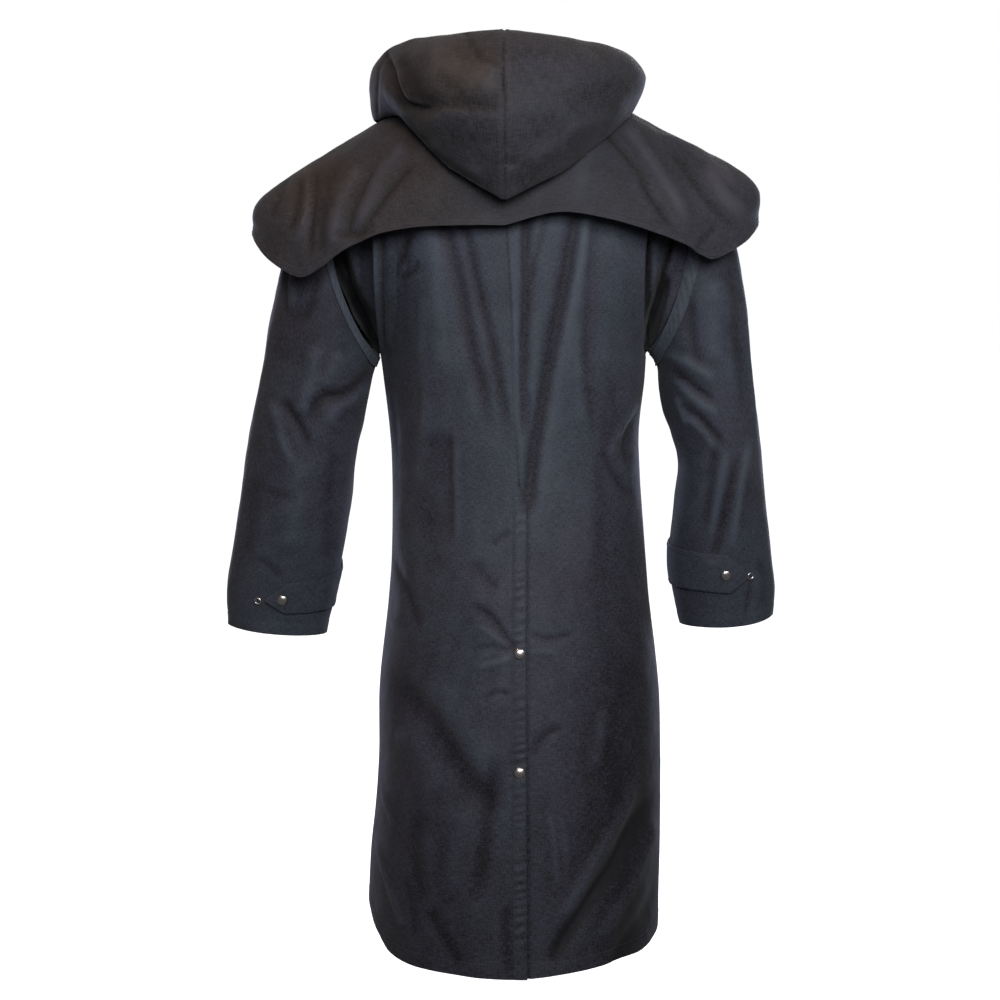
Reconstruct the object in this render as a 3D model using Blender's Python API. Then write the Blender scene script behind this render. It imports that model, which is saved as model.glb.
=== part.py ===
"""A long hooded riding coat in waxed cotton, hollow and hanging as it does when it is worn, seen from behind.

Frame: +X is the wearer's right, +Y the wearer's front, +Z up. The origin is the middle of the neck opening,
at the height where the shoulder seams start. Every size is in metres.
"""

import math
from collections import namedtuple
from functools import lru_cache

import bmesh
import bpy
from mathutils import Vector
from mathutils.bvhtree import BVHTree

# The cloth and how the pieces meet.
WALL = 0.0018
BAND_WALL = 0.0012
SEAM_GAP = 0.0004
LAYER_GAP = 0.0006
BAND_GAP = 0.0010
LAP_GAP = 0.0010

# Lapped edges: the centre back vent and the front closing.
VENT_TOP_Z = -0.586
VENT_LAP = 0.008
VENT_UNDERLAP = 0.030
FRONT_LAP = 0.026
FRONT_UNDERLAP = 0.028
LAP_LEVEL = 0.030
LAP_RUNOUT = 0.070

# Armholes, as an ellipse stood on edge that bows away from the body.
SHOULDER_POINT = (0.235, -0.092)
UNDERARM_POINT = (0.195, -0.405)
ARMHOLE_HALF_DEPTH = 0.075
ARMHOLE_BOW = 0.046
ARMHOLE_STEPS = 10
BAND_WIDTH = 0.018
BAND_START = 0.0015
BAND_CLEAR = 0.0045

# Neck.
NECK_HALF_WIDTH = 0.085
STAND_HEIGHT = 0.032
STAND_LEAN = 0.003
STAND_END = 168
STAND_SET_IN = 0.0012
CAPE_RISE = 0.0056
HOOD_RISE = 0.0076
FRONT_RISE = 0.0034
HOOD_MIDDLE_X = -0.012
HOOD_REST = 0.0050
CAPE_REST = 0.0040
CAPE_END = 156
LAY_REACH = 0.040

# Press studs.
STUD_RADIUS = 0.0075
STUD_HEIGHT = 0.0032
SOCKET_RADIUS = 0.0062
SOCKET_HOLE_RADIUS = 0.0026
STUD_SIDES = 10

# Cuff straps.
STRAP_WALL = 0.0022
STRAP_POINT = 0.030

Section = namedtuple("Section", "mid edge edge_normal past")


def table(columns, *rows):
    """Rows with named columns."""
    kind = namedtuple("Row", columns)
    return [kind(*row) for row in rows]


# The skirt and body, from the hem up to the underarm. left and right are half widths, back and front half
# depths, and seam the sideways place of the centre back seam.
GIRTHS = table(
    "z left right back front seam",
    (-1.272, 0.2185, 0.2235, 0.236, 0.216, 0.0125),
    (-1.157, 0.2140, 0.2256, 0.226, 0.207, 0.0115),
    (-1.016, 0.2023, 0.2257, 0.212, 0.197, 0.0105),
    (-0.893, 0.1998, 0.2215, 0.198, 0.188, 0.0100),
    (-0.770, 0.1860, 0.2067, 0.180, 0.178, 0.0100),
    (-0.694, 0.1804, 0.2000, 0.165, 0.168, 0.0102),
    (-0.586, 0.1790, 0.1915, 0.148, 0.158, 0.0105),
    (-0.513, 0.1815, 0.1870, 0.145, 0.157, 0.0050),
    (-0.440, 0.1895, 0.1920, 0.148, 0.161, 0.0016),
    (-0.405, 0.1948, 0.1948, 0.151, 0.163, -0.0002),
)

# The middle line of the back and the front above the underarm: one row for each step up the armhole, then
# one for each step along the shoulder seam to the neck.
MIDDLES = table(
    "back_y back_z front_y front_z seam",
    (-0.1515, -0.388, 0.1640, -0.389, -0.0012),
    (-0.1535, -0.358, 0.1650, -0.365, -0.0025),
    (-0.1550, -0.325, 0.1655, -0.340, -0.0040),
    (-0.1560, -0.292, 0.1650, -0.315, -0.0055),
    (-0.1555, -0.260, 0.1635, -0.292, -0.0075),
    (-0.1540, -0.232, 0.1615, -0.272, -0.0090),
    (-0.1515, -0.208, 0.1585, -0.254, -0.0098),
    (-0.1485, -0.188, 0.1550, -0.238, -0.0102),
    (-0.1450, -0.168, 0.1510, -0.222, -0.0105),
    (-0.1405, -0.146, 0.1460, -0.203, -0.0107),
    (-0.1300, -0.108, 0.1350, -0.172, -0.0110),
    (-0.1140, -0.068, 0.1200, -0.139, -0.0110),
    (-0.0950, -0.030, 0.1030, -0.104, -0.0110),
    (-0.0740, 0.004, 0.0850, -0.070, -0.0110),
)
SHOULDER_STEPS = 4

# The open edge of the action pleat behind each armhole, from the underarm up: where the back panel leaves
# the armhole and where it comes back to it.
PLEAT_EDGE = table(
    "x y z",
    (0.1962, -0.0300, -0.388),
    (0.1975, -0.0640, -0.352),
    (0.1985, -0.0890, -0.318),
    (0.1990, -0.1030, -0.281),
    (0.1990, -0.1095, -0.243),
    (0.2040, -0.1040, -0.204),
    (0.2210, -0.0850, -0.163),
)
PLEAT_PULL_IN = {-1: 0.0, 1: 0.010}
GUSSET_TURNS = (156, 148, 138, 124, 108, 90, 72, 58, 46)
GUSSET_RECESS = {-1: 0.022, 1: 0.006}
GUSSET_DEPTH = {-1: 0.009, 1: 0.007}
GUSSET_SINK = 0.0040

# The sleeves, from the armhole to the cuff. outer and inner are the two lines that show from behind.
SLEEVES = {
    -1: table(
        "outer_x outer_z inner_x inner_z middle_y half_depth bow",
        (0.2350, -0.092, 0.1950, -0.405, 0.000, 0.0750, 0.046),
        (0.2620, -0.108, 0.1985, -0.4095, 0.000, 0.0790, 0.036),
        (0.2900, -0.138, 0.2025, -0.4160, 0.001, 0.0820, 0.025),
        (0.3120, -0.180, 0.2060, -0.4280, 0.002, 0.0830, 0.014),
        (0.3300, -0.236, 0.2105, -0.4460, 0.003, 0.0830, 0.006),
        (0.3419, -0.283, 0.2147, -0.4680, 0.004, 0.0825, 0.002),
        (0.3560, -0.345, 0.2210, -0.5000, 0.006, 0.0810, 0.0),
        (0.3710, -0.413, 0.2290, -0.5440, 0.009, 0.0790, 0.0),
        (0.3865, -0.490, 0.2385, -0.5990, 0.014, 0.0760, 0.0),
        (0.4010, -0.585, 0.2500, -0.6650, 0.021, 0.0720, 0.0),
        (0.4150, -0.675, 0.2620, -0.7280, 0.029, 0.0670, 0.0),
        (0.4275, -0.756, 0.2735, -0.7840, 0.037, 0.0610, 0.0),
        (0.4285, -0.812, 0.2826, -0.8260, 0.042, 0.0570, 0.0),
    ),
    1: table(
        "outer_x outer_z inner_x inner_z middle_y half_depth bow",
        (0.2350, -0.092, 0.1950, -0.405, 0.000, 0.0750, 0.046),
        (0.2600, -0.107, 0.1985, -0.4095, 0.000, 0.0785, 0.036),
        (0.2860, -0.135, 0.2030, -0.4160, 0.001, 0.0810, 0.025),
        (0.3070, -0.176, 0.2080, -0.4270, 0.002, 0.0820, 0.014),
        (0.3245, -0.230, 0.2125, -0.4430, 0.003, 0.0820, 0.006),
        (0.3353, -0.276, 0.2165, -0.4600, 0.004, 0.0815, 0.002),
        (0.3460, -0.335, 0.2235, -0.4850, 0.006, 0.0800, 0.0),
        (0.3545, -0.405, 0.2340, -0.5200, 0.010, 0.0780, 0.0),
        (0.3635, -0.485, 0.2460, -0.5650, 0.016, 0.0750, 0.0),
        (0.3735, -0.580, 0.2430, -0.6180, 0.026, 0.0710, 0.0),
        (0.3840, -0.672, 0.2370, -0.6900, 0.036, 0.0660, 0.0),
        (0.3925, -0.752, 0.2430, -0.7500, 0.045, 0.0610, 0.0),
        (0.3870, -0.800, 0.2590, -0.8070, 0.050, 0.0570, 0.0),
    ),
}

# The shoulder cape, from the centre back round to its front edge. neck is the turn round the neck in
# degrees, then come a point on the shoulder, the point where the cape turns down, and the hem.
CAPE = {
    -1: table(
        "neck shoulder knee hem",
        (0, (0.010, -0.1150, -0.064), (0.010, -0.1600, -0.140), (0.010, -0.1780, -0.2170)),
        (20, (0.050, -0.1130, -0.066), (0.066, -0.1580, -0.142), (0.072, -0.1760, -0.2175)),
        (40, (0.088, -0.1050, -0.068), (0.125, -0.1500, -0.148), (0.138, -0.1680, -0.2200)),
        (55, (0.118, -0.0900, -0.068), (0.175, -0.1360, -0.158), (0.196, -0.1560, -0.2313)),
        (67, (0.143, -0.0700, -0.064), (0.226, -0.1180, -0.172), (0.250, -0.1380, -0.2583)),
        (77, (0.165, -0.0460, -0.060), (0.276, -0.0970, -0.180), (0.298, -0.1150, -0.2879)),
        (84, (0.182, -0.0230, -0.058), (0.328, -0.0560, -0.172), (0.354, -0.0680, -0.2600)),
        (90, (0.200, 0.0000, -0.063), (0.364, 0.0000, -0.165), (0.384, 0.0000, -0.2247)),
        (98, (0.190, 0.0280, -0.064), (0.346, 0.0560, -0.166), (0.372, 0.0640, -0.2380)),
        (110, (0.172, 0.0600, -0.074), (0.296, 0.1010, -0.178), (0.322, 0.1180, -0.2640)),
        (124, (0.148, 0.0910, -0.092), (0.236, 0.1390, -0.192), (0.256, 0.1600, -0.2840)),
        (138, (0.114, 0.1180, -0.114), (0.168, 0.1660, -0.202), (0.180, 0.1860, -0.2960)),
        (150, (0.078, 0.1350, -0.136), (0.104, 0.1780, -0.214), (0.110, 0.1930, -0.3020)),
        (156, (0.052, 0.1400, -0.146), (0.056, 0.1820, -0.220), (0.056, 0.1950, -0.3040)),
    ),
    1: table(
        "neck shoulder knee hem",
        (0, (-0.010, -0.1150, -0.064), (-0.010, -0.1600, -0.140), (-0.010, -0.1780, -0.2170)),
        (20, (0.034, -0.1130, -0.064), (0.052, -0.1580, -0.134), (0.060, -0.1760, -0.1995)),
        (40, (0.080, -0.1050, -0.066), (0.112, -0.1510, -0.142), (0.122, -0.1700, -0.2060)),
        (55, (0.116, -0.0900, -0.066), (0.172, -0.1370, -0.154), (0.194, -0.1560, -0.2250)),
        (67, (0.143, -0.0700, -0.062), (0.226, -0.1170, -0.164), (0.250, -0.1360, -0.2460)),
        (77, (0.165, -0.0460, -0.058), (0.266, -0.0960, -0.170), (0.283, -0.1120, -0.2626)),
        (84, (0.182, -0.0230, -0.056), (0.314, -0.0560, -0.156), (0.334, -0.0680, -0.2360)),
        (90, (0.198, 0.0000, -0.0600), (0.348, 0.0000, -0.142), (0.362, 0.0000, -0.2100)),
        (98, (0.190, 0.0280, -0.0610), (0.332, 0.0560, -0.150), (0.352, 0.0640, -0.2260)),
        (110, (0.172, 0.0600, -0.072), (0.286, 0.1010, -0.168), (0.308, 0.1180, -0.2560)),
        (124, (0.148, 0.0910, -0.090), (0.230, 0.1390, -0.186), (0.248, 0.1600, -0.2800)),
        (138, (0.114, 0.1180, -0.112), (0.166, 0.1660, -0.200), (0.178, 0.1860, -0.2950)),
        (150, (0.078, 0.1350, -0.134), (0.103, 0.1780, -0.212), (0.109, 0.1930, -0.3020)),
        (156, (0.052, 0.1400, -0.144), (0.056, 0.1820, -0.219), (0.056, 0.1950, -0.3040)),
    ),
}

# The hood, thrown back. Each row is one upright cut through it at that turn round the neck: points given
# as reach from the middle and height, from beside the neck out, down, round and up to the rolled rim.
HOOD = {
    -1: table(
        "turn under low_in low low_out belly brow crown rim",
        (0, (0.128, -0.048), (0.172, -0.120), (0.196, -0.180), (0.212, -0.170), (0.246, -0.078), (0.226, 0.006),
         (0.166, 0.053), (0.126, 0.044)),
        (24, (0.126, -0.048), (0.158, -0.092), (0.180, -0.136), (0.198, -0.128), (0.232, -0.060), (0.216, 0.006),
         (0.162, 0.050), (0.126, 0.042)),
        (42, (0.124, -0.042), (0.146, -0.066), (0.168, -0.094), (0.186, -0.088), (0.214, -0.042), (0.202, 0.008),
         (0.160, 0.048), (0.128, 0.040)),
        (60, (0.126, -0.034), (0.144, -0.046), (0.162, -0.060), (0.180, -0.056), (0.198, -0.026), (0.190, 0.010),
         (0.162, 0.044), (0.134, 0.038)),
        (90, (0.140, -0.022), (0.160, -0.036), (0.181, -0.047), (0.194, -0.042), (0.199, -0.018), (0.196, 0.008),
         (0.182, 0.029), (0.164, 0.028)),
        (120, (0.130, -0.046), (0.146, -0.056), (0.163, -0.066), (0.175, -0.060), (0.182, -0.038), (0.180, -0.018),
         (0.170, 0.000), (0.154, 0.000)),
        (145, (0.112, -0.070), (0.123, -0.079), (0.136, -0.089), (0.146, -0.084), (0.150, -0.066), (0.147, -0.052),
         (0.139, -0.040), (0.127, -0.041)),
        (156, (0.104, -0.079), (0.110, -0.084), (0.118, -0.091), (0.126, -0.088), (0.130, -0.076), (0.128, -0.066),
         (0.122, -0.058), (0.113, -0.060)),
    ),
    1: table(
        "turn under low_in low low_out belly brow crown rim",
        (0, (0.128, -0.048), (0.172, -0.120), (0.196, -0.180), (0.212, -0.170), (0.246, -0.078), (0.226, 0.006),
         (0.166, 0.053), (0.126, 0.044)),
        (24, (0.126, -0.048), (0.162, -0.098), (0.188, -0.142), (0.204, -0.134), (0.236, -0.064), (0.220, 0.004),
         (0.166, 0.047), (0.128, 0.040)),
        (42, (0.124, -0.042), (0.150, -0.074), (0.174, -0.108), (0.192, -0.102), (0.220, -0.046), (0.208, 0.004),
         (0.168, 0.042), (0.134, 0.037)),
        (60, (0.126, -0.034), (0.150, -0.056), (0.174, -0.078), (0.190, -0.072), (0.211, -0.030), (0.203, 0.004),
         (0.176, 0.035), (0.146, 0.031)),
        (90, (0.140, -0.022), (0.164, -0.034), (0.184, -0.043), (0.196, -0.036), (0.206, -0.010), (0.203, 0.006),
         (0.190, 0.022), (0.172, 0.022)),
        (120, (0.130, -0.044), (0.148, -0.054), (0.166, -0.064), (0.178, -0.058), (0.186, -0.036), (0.184, -0.018),
         (0.174, -0.002), (0.158, -0.002)),
        (145, (0.112, -0.070), (0.123, -0.079), (0.136, -0.089), (0.146, -0.084), (0.150, -0.066), (0.147, -0.052),
         (0.139, -0.040), (0.127, -0.041)),
        (156, (0.104, -0.079), (0.110, -0.084), (0.118, -0.091), (0.126, -0.088), (0.130, -0.076), (0.128, -0.066),
         (0.122, -0.058), (0.113, -0.060)),
    ),
}

# The largest folds. On the body each one runs from a top to a bottom place on one face; depth is how far
# the ridge stands out, and a negative depth is a trough.
BODY_FOLDS = table(
    "face top_x top_z foot_x foot_z half_width depth",
    ("back", -0.082, -0.190, -0.006, -0.560, 0.024, -0.0060),
    ("back", 0.080, -0.190, 0.024, -0.560, 0.024, -0.0060),
    ("back", -0.122, -0.470, -0.086, -0.720, 0.024, -0.0060),
    ("back", -0.150, -0.980, -0.166, -1.290, 0.024, -0.0070),
    ("back", -0.112, -0.900, -0.100, -1.290, 0.028, 0.0070),
    ("back", 0.165, -0.900, 0.120, -1.290, 0.028, -0.0080),
    ("front", -0.120, -0.300, -0.090, -0.640, 0.026, -0.0060),
    ("front", 0.120, -0.300, 0.090, -0.640, 0.026, -0.0060),
    ("front", -0.105, -0.760, -0.130, -1.290, 0.032, 0.0090),
    ("front", 0.105, -0.760, 0.135, -1.290, 0.032, 0.0090),
)
LAP_CLEAR = (0.040, 0.075)

# Folds of the cape: side, turn at the neck and at the hem, half width in degrees, depth, and how far down
# from the neck the fold starts.
CAPE_FOLDS = table(
    "side neck hem half_width depth start",
    (-1, 58, 50, 6, 0.0060, 0.25),
    (-1, 66, 64, 5, -0.0060, 0.30),
    (-1, 76, 76, 5, 0.0050, 0.35),
    (-1, 88, 84, 4, -0.0060, 0.60),
    (1, 54, 46, 6, -0.0050, 0.25),
    (1, 62, 60, 6, 0.0060, 0.25),
    (1, 74, 73, 5, -0.0055, 0.30),
    (1, 84, 83, 5, 0.0050, 0.45),
    (-1, 116, 118, 7, 0.0060, 0.35),
    (1, 116, 118, 7, 0.0060, 0.35),
    (-1, 136, 138, 6, -0.0040, 0.45),
    (1, 136, 138, 6, -0.0040, 0.45),
)

# Folds of the sleeves: side, place down the sleeve as a share of its rows, turn round it, half sizes of the
# dent and its depth.
SLEEVE_FOLDS = table(
    "side down turn half_down half_turn depth slant",
    (-1, 0.46, 60, 0.05, 34, -0.0050, 0.0012),
    (-1, 0.62, 130, 0.05, 30, 0.0050, 0.0012),
    (-1, 0.78, 60, 0.05, 30, -0.0040, -0.0010),
    (1, 0.48, 130, 0.05, 40, -0.0060, 0.0016),
    (1, 0.58, 120, 0.04, 40, 0.0050, 0.0016),
    (1, 0.66, 135, 0.04, 34, -0.0050, 0.0010),
    (1, 0.84, 62, 0.05, 16, -0.0035, 0.0),
    (-1, 0.60, 290, 0.06, 40, -0.0050, 0.0),
    (1, 0.60, 290, 0.06, 40, -0.0050, 0.0),
)

# The cuff straps. start, tip, stud and socket are turns round the sleeve; top and foot give the rows of
# the sleeve that the strap's edges follow, at turn 180 and at turn 90.
STRAPS = table(
    "side start tip stud socket top foot",
    (-1, 222, 80, 95, 68, (9.90, 10.55), (10.95, 11.30)),
    (1, 222, 66, 87, 56, (9.95, 10.22), (11.00, 11.06)),
)

FINISHES = {
    "waxed_cotton": ((0.030, 0.033, 0.040, 1.0), 0.62, 0.0),
    "waxed_cotton_cape": ((0.036, 0.033, 0.032, 1.0), 0.66, 0.0),
    "stud_metal": ((0.30, 0.27, 0.25, 1.0), 0.32, 1.0),
}


def smooth_step(low, high, value):
    """0 below low, 1 above high, and a smooth rise between."""
    share = min(1.0, max(0.0, (value - low) / (high - low)))
    return share * share * (3 - 2 * share)


def spline(points, place):
    """A point on the smooth curve through points; place runs from 0 to the last index."""
    last = len(points) - 1
    first = min(int(place), last - 1)
    t = place - first
    a, b = points[first], points[first + 1]
    before = points[first - 1] if first else a * 2 - b
    after = points[first + 2] if first + 2 <= last else b * 2 - a
    slope_a, slope_b = (b - before) / 2, (after - a) / 2
    t2, t3 = t * t, t * t * t
    return a * (2 * t3 - 3 * t2 + 1) + slope_a * (t3 - 2 * t2 + t) + b * (3 * t2 - 2 * t3) + slope_b * (t3 - t2)


def girth_at(z):
    """The row of GIRTHS at height z, on smooth curves through the table."""
    rows = [Vector(row) for row in GIRTHS]
    low, high = 0.0, len(rows) - 1.0
    for _ in range(40):
        place = (low + high) / 2
        low, high = (place, high) if spline(rows, place)[0] < z else (low, place)
    return type(GIRTHS[0])(*spline(rows, (low + high) / 2))


def armhole(side, turn):
    """A point of the armhole; turn is 0 at the shoulder, 90 at the back and 180 under the arm."""
    angle = math.radians(turn)
    top, foot = Vector((SHOULDER_POINT[0], 0, SHOULDER_POINT[1])), Vector((UNDERARM_POINT[0], 0, UNDERARM_POINT[1]))
    place = (top + foot) / 2 + (top - foot) / 2 * math.cos(angle)
    place.x += ARMHOLE_BOW * math.sin(angle) ** 2
    place.y -= ARMHOLE_HALF_DEPTH * math.sin(angle)
    return Vector((side * place.x, place.y, place.z))


def armhole_normal(side, turn):
    """The way out of the cloth at the armhole, shared by the pieces that meet there."""
    angle = math.radians(turn)
    top, foot = Vector((SHOULDER_POINT[0], 0, SHOULDER_POINT[1])), Vector((UNDERARM_POINT[0], 0, UNDERARM_POINT[1]))
    up = (top - foot).normalized()
    away = up * math.cos(angle) + Vector((0, -math.sin(angle), 0)) + Vector((0.5, 0, 0))
    return Vector((side * away.x, away.y, away.z)).normalized()


def shoulder_seam(side, share):
    """A point of the shoulder seam, from the shoulder point to the neck."""
    start, end = Vector((SHOULDER_POINT[0], 0, SHOULDER_POINT[1])), Vector((NECK_HALF_WIDTH, 0, 0))
    place = start.lerp(end, share)
    return Vector((side * place.x, place.y, place.z))


def skirt_heights():
    """Heights of the cross-sections from the hem to just under the arm."""
    steps = [(-1.272, -0.610, 10), (-0.610, VENT_TOP_Z - 0.004, 1), (VENT_TOP_Z - 0.004, VENT_TOP_Z + 0.006, 1),
             (VENT_TOP_Z + 0.006, -0.405, 4)]
    heights = []
    for low, high, count in steps:
        heights += [low + (high - low) * n / count for n in range(count)]
    return heights


@lru_cache(maxsize=None)
def sections(side, face):
    """The cross-sections of one quarter of the coat, from the hem to the neck. past is the reach of the
    quarter beside it, which a lapped edge follows."""
    back = face == "back"
    found = []
    for z in skirt_heights() + [UNDERARM_POINT[1]]:
        row = girth_at(z) if z < UNDERARM_POINT[1] else GIRTHS[-1]
        half, other = (row.left, row.right) if side < 0 else (row.right, row.left)
        mid = Vector((row.seam, -row.back, z) if back else (0, row.front, z))
        found.append(Section(mid, Vector((side * half, 0, z)), Vector((side, 0, 0)), other + side * mid.x))
    found[-1] = found[-1]._replace(edge=armhole(side, 180), edge_normal=armhole_normal(side, 180))
    for step, row in enumerate(MIDDLES):
        mid = Vector((row.seam, row.back_y, row.back_z) if back else (0, row.front_y, row.front_z))
        along = (step + 1) / ARMHOLE_STEPS
        if along <= 1:
            turn = 180 - 180 * along if back else 180 + 180 * along
            edge, normal = armhole(side, turn), armhole_normal(side, turn)
            if back and step < len(PLEAT_EDGE):
                pull = PLEAT_PULL_IN[side] * math.sin(math.pi * (step + 0.5) / len(PLEAT_EDGE))
                place = PLEAT_EDGE[step]
                edge, normal = Vector((side * (place.x - pull), place.y, place.z)), None
        else:
            share = (step + 1 - ARMHOLE_STEPS) / SHOULDER_STEPS
            edge = shoulder_seam(side, share)
            slope = shoulder_seam(side, 0) - shoulder_seam(side, 1)
            normal = Vector((side * abs(slope.z), 0, abs(slope.x))).normalized()
        found.append(Section(mid, edge, normal, abs(edge.x) + side * mid.x))
    return found


def full_turn(section):
    return math.acos(max(-1.0, min(1.0, section.edge.y / section.mid.y)))


def reach_of(section, share=1.0):
    """The half width of the curve, with its sign. A share below 0 takes the quarter on the other side."""
    reach = section.edge.x - section.mid.x
    if share < 0:
        reach = math.copysign(section.past, reach)
    return reach / math.sin(full_turn(section))


def quarter(section, share):
    """A point on a cross-section, from its middle (0) to its edge (1). A share below 0 is past the middle."""
    turn = share * full_turn(section)
    rise = math.sin(share * math.pi / 2) ** 2
    return Vector((section.mid.x + reach_of(section, share) * math.sin(turn), section.mid.y * math.cos(turn),
                   section.mid.z + (section.edge.z - section.mid.z) * rise))


def share_of(section, distance):
    """The share of the way round that lies a distance past the middle."""
    return distance / abs(reach_of(section, -1)) / full_turn(section)


def between(cuts, place):
    """The cross-section at a place between two of them."""
    first = min(int(place), len(cuts) - 2)
    low, high, share = cuts[first], cuts[first + 1], place - first
    return Section(low.mid.lerp(high.mid, share), low.edge.lerp(high.edge, share), None, low.past)


def fold_height(face, place):
    """How far the largest folds stand out of the cloth at a place on the body."""
    height = 0.0
    for fold in BODY_FOLDS:
        if fold.face != face:
            continue
        share = (fold.top_z - place.z) / (fold.top_z - fold.foot_z)
        if not -0.15 < share < 1.15:
            continue
        across = (place.x - fold.top_x - (fold.foot_x - fold.top_x) * share) / fold.half_width
        ends = smooth_step(-0.15, 0.25, share) * (1 - smooth_step(0.70, 1.15, share))
        if fold.foot_z < GIRTHS[0].z:
            ends = smooth_step(-0.15, 0.45, share)
        height += fold.depth * math.exp(-across * across) * ends
    if face == "front" or place.z < VENT_TOP_Z + 0.05:
        height *= smooth_step(*LAP_CLEAR, abs(place.x))
    return height


def across(a, b, side_out):
    """The unit normal of two directions, on the side of side_out."""
    normal = a.cross(b).normalized()
    return normal if normal.dot(side_out) > 0 else -normal


def material(name):
    found = bpy.data.materials.get(name)
    if found:
        return found
    color, roughness, metallic = FINISHES[name]
    found = bpy.data.materials.new(name)
    found.use_nodes = True
    shader = found.node_tree.nodes["Principled BSDF"]
    shader.inputs["Base Color"].default_value = color
    shader.inputs["Roughness"].default_value = roughness
    shader.inputs["Metallic"].default_value = metallic
    found.diffuse_color = color
    return found


def cloth(name, outer, inner, finish, closed=False):
    """A closed wall between two matching grids of points. closed joins the last column to the first."""
    rows, columns = len(outer), len(outer[0])
    form = bmesh.new()
    skins = [[[form.verts.new(p) for p in row] for row in grid] for grid in (outer, inner)]
    spans = columns if closed else columns - 1
    for i in range(rows - 1):
        for j in range(spans):
            k = (j + 1) % columns
            form.faces.new([skins[0][i][j], skins[0][i][k], skins[0][i + 1][k], skins[0][i + 1][j]])
            form.faces.new([skins[1][i][j], skins[1][i + 1][j], skins[1][i + 1][k], skins[1][i][k]])
    for j in range(spans):
        k = (j + 1) % columns
        form.faces.new([skins[0][0][k], skins[0][0][j], skins[1][0][j], skins[1][0][k]])
        form.faces.new([skins[0][-1][j], skins[0][-1][k], skins[1][-1][k], skins[1][-1][j]])
    if not closed:
        for i in range(rows - 1):
            form.faces.new([skins[0][i][0], skins[0][i + 1][0], skins[1][i + 1][0], skins[1][i][0]])
            form.faces.new([skins[0][i + 1][-1], skins[0][i][-1], skins[1][i][-1], skins[1][i + 1][-1]])
    bmesh.ops.recalc_face_normals(form, faces=form.faces)
    mesh = bpy.data.meshes.new(name)
    form.to_mesh(mesh)
    form.free()
    mesh.shade_smooth()
    mesh.set_sharp_from_angle(angle=math.radians(50))
    made = bpy.data.objects.new(name, mesh)
    made.data.materials.append(material(finish))
    bpy.context.scene.collection.objects.link(made)
    return made


def skin(side, face, columns, lap=None, lift=None, drawn=None):
    """Outer points and normals of one panel of the body. lap(section) is how far it runs past the middle,
    and lift(section, distance) how far it stands off there."""
    cuts = drawn or sections(side, face)
    out = Vector((0, -1 if face == "back" else 1, 0))
    starts = [-share_of(cut, lap(cut)) if lap else 0.0 for cut in cuts]
    shares = [[start + (1 - start) * j / columns for j in range(columns + 1)] for start in starts]
    base = [[quarter(cut, s) for s in row] for cut, row in zip(cuts, shares)]
    step = 0.002
    outer, normals = [], []
    for i, cut in enumerate(cuts):
        above, below = min(i + 1, len(cuts) - 1), max(i - 1, 0)
        points, outs = [], []
        for j, share in enumerate(shares[i]):
            around = quarter(cut, share + step) - quarter(cut, share - step)
            upward = quarter(cuts[above], share) - quarter(cuts[below], share)
            normal = across(around, upward, out + Vector((side * max(0.0, share) * 2, 0, 0)))
            last = j == columns
            if last and cut.edge_normal is not None:
                normal = cut.edge_normal
                if cut.edge_normal.z == 0:
                    normal = across(Vector((0, 1, 0)), cuts[above].edge - cuts[below].edge, Vector((side, 0, 0)))
            place = base[i][j].copy()
            gap = around.normalized() * SEAM_GAP / 2
            place += -gap if last else (gap if j == 0 and starts[i] == 0 else Vector((0, 0, 0)))
            height = fold_height(face, place) * (1 - smooth_step(0.80, 1.0, share))
            distance = (quarter(cut, share) - cut.mid).length * (1 if share >= 0 else -1)
            height += lift(cut, distance) if lift else 0.0
            points.append(place + normal * height)
            outs.append(normal)
        outer.append(points)
        normals.append(outs)
    return outer, normals


def inward(outer, normals, wall):
    return [[p - n * wall for p, n in zip(a, b)] for a, b in zip(outer, normals)]


def vent_lift(cut, distance):
    """The left back panel stands off over the right one, below the top of the vent."""
    down = 1 - smooth_step(VENT_TOP_Z + 0.004, VENT_TOP_Z + 0.020, cut.mid.z)
    near = 1 - smooth_step(VENT_UNDERLAP + LAP_LEVEL, VENT_UNDERLAP + LAP_RUNOUT, distance)
    return (WALL + LAP_GAP) * down * near


def vent_lap(cut):
    return VENT_LAP if cut.mid.z < VENT_TOP_Z else 0.0


def vent_underlap(cut):
    return VENT_UNDERLAP if cut.mid.z < VENT_TOP_Z - 0.008 else 0.0


def front_lift(cut, distance):
    near = 1 - smooth_step(FRONT_UNDERLAP + LAP_LEVEL, FRONT_UNDERLAP + LAP_RUNOUT, distance)
    return (WALL + LAP_GAP) * near


def body_panels():
    """The two backs and the two fronts. The left ones lap over the right ones."""
    made = {}
    plans = [
        ("back_left", -1, "back", 12, vent_lap, vent_lift),
        ("back_right", 1, "back", 12, vent_underlap, None),
        ("front_left", -1, "front", 10, lambda cut: FRONT_LAP, front_lift),
        ("front_right", 1, "front", 10, lambda cut: FRONT_UNDERLAP, None),
    ]
    for name, side, face, columns, lap, lift in plans:
        outer, normals = skin(side, face, columns, lap, lift)
        made[name] = (outer, normals)
        cloth(name, outer, inward(outer, normals, WALL), "waxed_cotton")
    return made


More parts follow.
